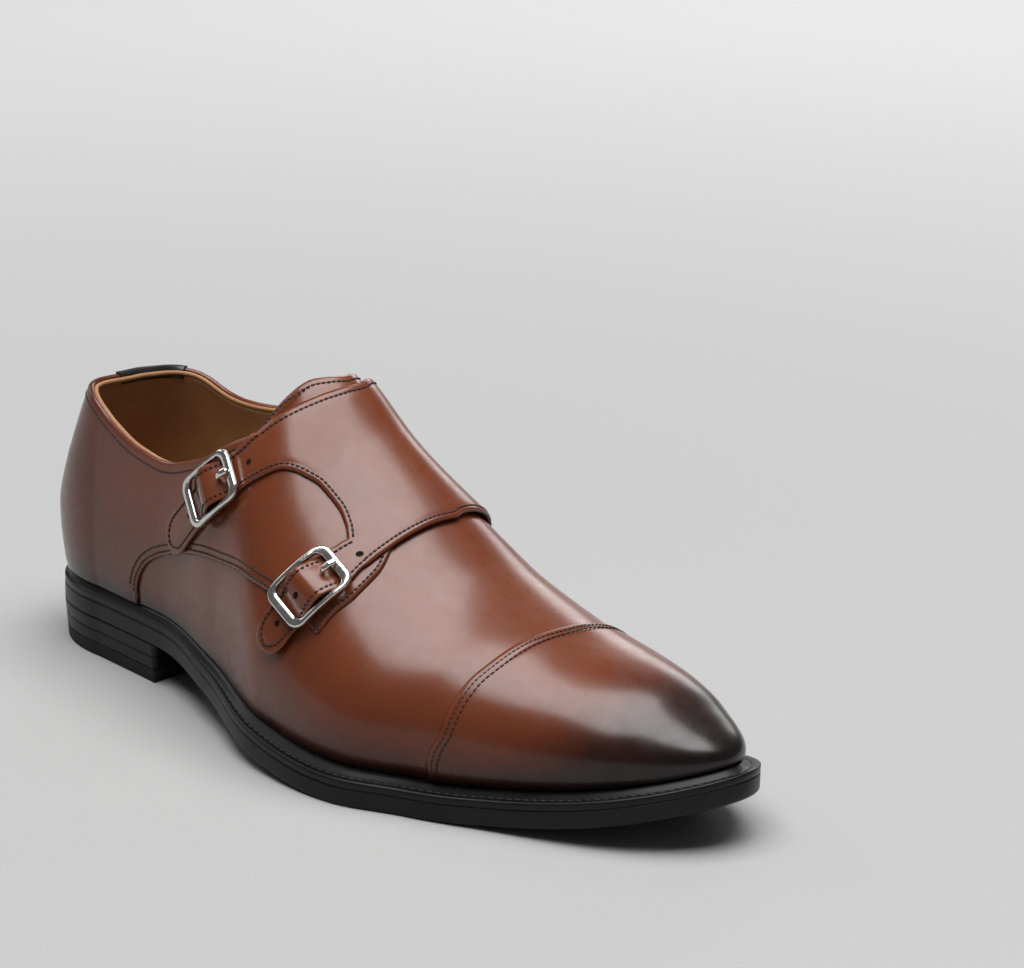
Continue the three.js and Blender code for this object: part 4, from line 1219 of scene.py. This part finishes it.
front_only = front_inner[front_inner[:, 0] > 159]
arch_only = front_inner[front_inner[:, 0] <= 159]
rows = [
    inner_row(arch_outer, 1.5, CALF, (0.02, 1)),
    inner_row(arch_outer, 3.7, CALF, (0.03, 0.98)),
    inner_row(front_outer, 1.7, CALF),
    inner_row(rear_line, ROW_IN, WING),
    inner_row(cut_line, -2.0, WING),
    inner_row(front_only, -2.2, WING),
    inner_row(arch_only, -1.5, CALF),
    inner_row(arch_only, -3.7, CALF),
    inner_row(tongue_edge, -2.6, -0.5, (0.08, 0.92)),
]
rows += [strap_row(strap) for strap in STRAPS.values()]
seam("upper_stitches", rows, PITCH, STITCH, brown_thread, 0.02)

# A tack of two short bars holds the inner quarter's front corner.
tack = [[(148.5, 31.5), (152.5, 37.5)], [(151, 30), (155, 36)]]
tack_rows = [row_on(along(pattern(1, bar), np.linspace(0, 1, 40)), CALF + 0.1) for bar in tack]
seam("bar_tack", tack_rows, 1.5, (1.1, 0.5, 0.3), brown_thread)

cap_rows = []
for margin, height in ((1.5, CAP), (3.1, CAP)):
    shifted = np.stack([cap_edge(cap_W) + margin, cap_W], -1)[4:-4]
    line = on_last(shifted[:, 0], shifted[:, 1], height - 0.1)
    cap_rows.append((line, outward(shifted[:, 0], shifted[:, 1])))
seam("toe_cap_stitches", cap_rows[1:], 2.0, (0.85, 0.42, 0.30), brown_thread)
seam("toe_cap_fine_stitches", cap_rows[:1], 1.8, (0.7, 0.3, 0.22), brown_thread)

collar_rows = []
for side in (-1, 1):
    X = np.linspace(116 if side < 0 else 98, BACK_X + 12, 260)
    top = collar(X, side)
    u, v = station_at(X), 1 - np.abs(top) / 100
    run = np.linalg.norm(last(u, side, v) - last(u, side, v - 0.05), axis=1) / 5
    path = np.stack([X, top + side * 2.7 / run], -1)
    collar_rows.append(row_on(path, CALF + 0.0))
seam("collar_stitches", collar_rows, PITCH, STITCH, brown_thread, 0.02)

# ---- Buckles ----
# Each is a polished frame, cast flat with soft corners and bent to the foot, on a round
# centre bar over which the strap rises, and a prong that hooks round the bar, comes up
# through a hole in the strap and rests on the frame's instep end.

FRAME_LENGTH = 24.6
FRAME_WIDTH = 19.2
FRAME_CORNER = 3.8
RAIL = 1
FRAME_LIFT = 4.7
BAR_RADIUS = 0.9
BAR_LIFT = 2.7
PRONG_AT = 6.4
PRONG_RADIUS = 0.8
FRAME_TOP = 1.519  # the frame's half height and the prong's gap over it

steel, tree, surface, place = shader("polished_steel", 0.12, Metallic=1.0)
haze = node(tree, "TexNoise", Vector=place, Scale=420.0, Detail=4.0).outputs["Fac"]
colour = ramp(tree, haze, [(0.3, (0.60, 0.59, 0.57)), (0.7, (0.74, 0.73, 0.71))])
tree.links.new(colour, surface.inputs["Base Color"])
rough = between(tree, haze, 0.09, 0.2)
tree.links.new(rough, surface.inputs["Roughness"])
scratch = node(tree, "Mapping", Vector=place, Scale=(300, 1800, 900)).outputs["Vector"]
lines = node(tree, "TexNoise", Vector=scratch, Scale=1.0, Detail=2.0).outputs["Fac"]
relief = node(tree, "Bump", Height=lines, Strength=0.05, Distance=0.0001).outputs["Normal"]
tree.links.new(relief, surface.inputs["Normal"])


def buckle_place(strap):
    """The buckle's middle, its directions along the strap towards the instep, across it and
    outwards, and how fast its frame falls away at its ends, from three places on the last."""
    span = FRAME_LENGTH / 2 - RAIL
    s = strap["buckle"] + np.array([0, -span, span])
    place = pattern(-1, strap_place(strap, s, 0))
    points = on_last(place[:, 0], place[:, 1])
    out = outward(place[:1, 0], place[:1, 1])[0]
    run = points[1] - points[2]
    a = run - out * run.dot(out)
    a /= np.linalg.norm(a)
    falls = (points[0] - points[1:]) @ out
    return points[0], np.stack([a, np.cross(out, a), out]), falls.mean() / span**2


def swept(path, widths, heights, up, looped, corners=12, power=3.0):
    """A closed bar carried along a path: its section is a superellipse, half widths across and half heights
    along up. The callers draw unlooped ends to a point."""
    ahead = np.roll(path, -1, 0) - np.roll(path, 1, 0) if looped else np.gradient(path, axis=0)
    ahead /= np.linalg.norm(ahead, axis=1, keepdims=True)
    across = np.cross(ahead, up)
    across /= np.linalg.norm(across, axis=1, keepdims=True)
    stand = np.cross(across, ahead)
    turn = np.linspace(0, 2 * math.pi, corners, endpoint=False) + math.pi / corners
    c = np.sign(np.cos(turn)) * np.abs(np.cos(turn)) ** (2 / power)
    s = np.sign(np.sin(turn)) * np.abs(np.sin(turn)) ** (2 / power)
    sideways = across[:, None] * (c * widths[:, None])[..., None]
    upright = stand[:, None] * (s * heights[:, None])[..., None]
    return path[:, None] + sideways + upright


def buckle(name, strap):
    """The frame, its bar and its prong."""
    origin, axes, bend = buckle_place(strap)
    long, wide = FRAME_LENGTH / 2 - RAIL, FRAME_WIDTH / 2 - RAIL
    turn = np.linspace(0, 2 * math.pi, 181)[:-1]
    quarter = np.floor(turn / (math.pi / 2) + 1e-9)
    signs_a, signs_b = np.sign(np.cos(turn + 1e-6)), np.sign(np.sin(turn + 1e-6))
    corner_a, corner_b = long - FRAME_CORNER, wide - FRAME_CORNER
    arc_a = signs_a * corner_a + FRAME_CORNER * np.cos(turn)
    arc_b = signs_b * corner_b + FRAME_CORNER * np.sin(turn)
    arcs = np.stack([arc_a, arc_b], -1)
    pieces = []
    for k in range(4):
        pieces.append(arcs[quarter == k])
        start, finish = arcs[quarter == k][-1], arcs[quarter == (k + 1) % 4][0]
        pieces.append(start + (finish - start) * np.linspace(0, 1, 16)[1:-1, None])
    flat = np.concatenate(pieces)
    line = np.concatenate([flat, (FRAME_LIFT - bend * flat[:, 0] ** 2)[:, None]], 1)
    ends = smooth_step(np.abs(flat[:, 0]), long - FRAME_CORNER, long)
    ring = swept(line, 0.92 + 0.85 * ends, 1.05 + 0.10 * ends, np.array([0, 0, 1.0]), True, 16, 3.2)
    points, faces = [ring.reshape(-1, 3)], [grid_faces(*ring.shape[:2], loop_rows=True, loop_columns=True)]
    total = ring.shape[0] * ring.shape[1]
    bar_path = np.stack([np.zeros(12), np.linspace(-wide, wide, 12), np.full(12, float(BAR_LIFT))], -1)
    feet = np.array([[0, -wide, FRAME_LIFT], [0, -wide + 0.2, FRAME_LIFT - 1.0]])
    bar_path = np.concatenate([feet, bar_path[1:-1], feet[::-1] * (1, -1, 1)])
    girth = np.full(len(bar_path), float(BAR_RADIUS))
    bar = swept(bar_path, girth, girth, np.array([1.0, 0, 0]), False, 12, 2.0)
    bar = np.concatenate([np.repeat(bar_path[:1, None], 12, 1), bar, np.repeat(bar_path[-1:, None], 12, 1)])
    points.append(bar.reshape(-1, 3))
    faces.append(grid_faces(*bar.shape[:2], loop_columns=True, start=total))
    places = np.concatenate(points) @ axes + origin
    frame_piece = new_piece(f"{name}_buckle_frame", places, np.concatenate(faces), [steel])
    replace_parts(merged(frame_piece), f"buckle_frame_{name}")

    rest = FRAME_LIFT - bend * long**2 + FRAME_TOP + PRONG_RADIUS
    share = min(PRONG_AT / HUMP_HALF, 1)
    top = HUMP_RISE * (1 + math.cos(math.pi * share)) / 2 + WING + 0.9
    knots = np.array(
        [
            (-1.3, BAR_LIFT - 0.4),
            (-0.2, BAR_LIFT - 1.35),
            (1.6, BAR_LIFT - 1.2),
            (PRONG_AT - 2.2, BAR_LIFT - 1.0),
            (PRONG_AT - 0.8, top - 1.6),
            (PRONG_AT + 0.2, top + 0.4),
            (PRONG_AT + 1.6, (top + rest) / 2 + 0.9),
            (PRONG_AT + 3.2, rest + 0.45),
            (long, rest),
            (long + 1.2, rest - 0.3),
        ],
        float,
    )
    way = along(knots, np.linspace(0, 1, 70))
    path = np.stack([way[:, 0], np.zeros(70), way[:, 1]], -1)
    grow = np.linspace(0, 1, 70)
    tip = np.minimum(1, (1 - grow) / 0.05) ** 0.5
    widths = (0.85 + 0.35 * smooth_step(grow, 0.5, 0.9)) * np.maximum(tip, 0.05)
    heights = (0.78 - 0.12 * smooth_step(grow, 0.7, 0.95)) * np.maximum(tip, 0.05)
    arm = swept(path, widths, heights, np.array([0, 0.001, 1.0]), False, 12, 2.4)
    arm = np.concatenate([np.repeat(path[:1, None], 12, 1), arm, np.repeat(path[-1:, None], 12, 1)])
    places = arm.reshape(-1, 3) @ axes + origin
    faces = grid_faces(*arm.shape[:2], loop_columns=True)
    prong = new_piece(f"{name}_buckle_prong", places, faces, [steel])
    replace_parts(merged(prong), f"buckle_prong_{name}")


for strap_name, strap in STRAPS.items():
    buckle(strap_name, strap)

# Round holes punched along each strap for its prong, each a shallow dish painted near black inside: painted
# shade where the hole's depth would lie in shadow.
hole_painted_shade, tree, surface, place = shader("punched_hole_painted_shade", 0.8, Specular_IOR_Level=0.1)
# The painted shade of the holes varies a little with a fine noise.
hole_shade_noise = node(tree, "TexNoise", Vector=place, Scale=1500.0).outputs["Fac"]
colour = ramp(tree, hole_shade_noise, [(0.3, (0.004, 0.002, 0.002)), (0.7, (0.012, 0.006, 0.004))])
tree.links.new(colour, surface.inputs["Base Color"])

# The holes' radius, and their places down each strap from its root.
HOLE = 1.05
HOLES = {"upper": (5.0, 27.0, 38.0), "lower": (0.6, 22.0, 32.6)}


def punched_holes():
    """A shallow dish painted dark as the hole's shade, for each hole, over the strap's upper face."""
    radius = np.array([1.0, 0.8, 0.5, 0.0]) * HOLE
    depth = np.array([0.02, 0.05, 0.06, 0.06])
    turn = np.linspace(0, 2 * math.pi, 20, endpoint=False)
    points, faces, total = [], [], 0
    for name, places in HOLES.items():
        for s in places:
            ring_s = s + radius[:, None] * np.cos(turn)
            ring_q = radius[:, None] * np.sin(turn)
            points.append(strap_points(STRAPS[name], ring_s, ring_q, depth[:, None]).reshape(-1, 3))
            faces.append(grid_faces(4, 20, loop_columns=True, start=total))
            total += 80
    places, faces = np.concatenate(points), np.concatenate(faces)
    piece = new_piece("punched_holes", places, faces, [hole_painted_shade])
    return outward_faces(merged(piece))


punched_holes()

# ---- Studio ----
# A pale paper floor that glows a little far from the shoe, an even surround, a large soft
# light overhead and two weak ones from behind and from the heel's side.

floor_mesh = bpy.data.meshes.new("floor")
FLOOR = 8.0
corners = [(-FLOOR, -FLOOR, 0), (FLOOR, -FLOOR, 0), (FLOOR, FLOOR, 0), (-FLOOR, FLOOR, 0)]
floor_mesh.from_pydata(corners, [], [(0, 1, 2, 3)])
floor = bpy.data.objects.new("floor", floor_mesh)
bpy.context.scene.collection.objects.link(floor)
paper, tree, surface, place = shader("floor_paper", 0.9, Specular_IOR_Level=0.1)
fleck = node(tree, "TexNoise", Vector=place, Scale=900.0).outputs["Fac"]
colour = ramp(tree, fleck, [(0.3, (0.355, 0.355, 0.355)), (0.7, (0.365, 0.365, 0.365))])
tree.links.new(colour, surface.inputs["Base Color"])
far = node(tree, "VectorMath", {"operation": "LENGTH"}, i0=place).outputs["Value"]
soft = {"interpolation_type": "SMOOTHSTEP"}
glow = node(tree, "MapRange", soft, Value=far, From_Min=0.15, From_Max=1.5, To_Min=0.0, To_Max=0.37)
tree.links.new(glow.outputs["Result"], surface.inputs["Emission Strength"])
surface.inputs["Emission Color"].default_value = (1, 1, 1, 1)
floor_mesh.materials.append(paper)

world = bpy.data.worlds.new("surround")
world.use_nodes = True
world.node_tree.nodes["Background"].inputs["Color"].default_value = (1, 1, 1, 1)
world.node_tree.nodes["Background"].inputs["Strength"].default_value = 0.13
bpy.context.scene.world = world


def softbox(name, direction, distance, size, power, target=(0, 0, 0.05)):
    """A square soft light looking at the shoe from a direction."""
    lamp = bpy.data.lights.new(name, "AREA")
    lamp.shape = "RECTANGLE"
    lamp.size, lamp.size_y = size
    lamp.energy = power
    made = bpy.data.objects.new(name, lamp)
    heading = Vector(direction).normalized()
    made.location = Vector(target) + heading * distance
    made.rotation_euler = heading.to_track_quat("Z", "Y").to_euler()
    bpy.context.scene.collection.objects.link(made)
    return made


softbox("overhead", (0.10, -0.05, 1), 1.5, (1.7, 1.25), 47)
softbox("back_light", (-0.44, 0.84, 0.32), 1.9, (1.3, 0.5), 7)
softbox("side_light", (-0.85, -0.10, 0.50), 2.0, (1.2, 0.7), 5)

bpy.context.scene.view_settings.view_transform = "Standard"
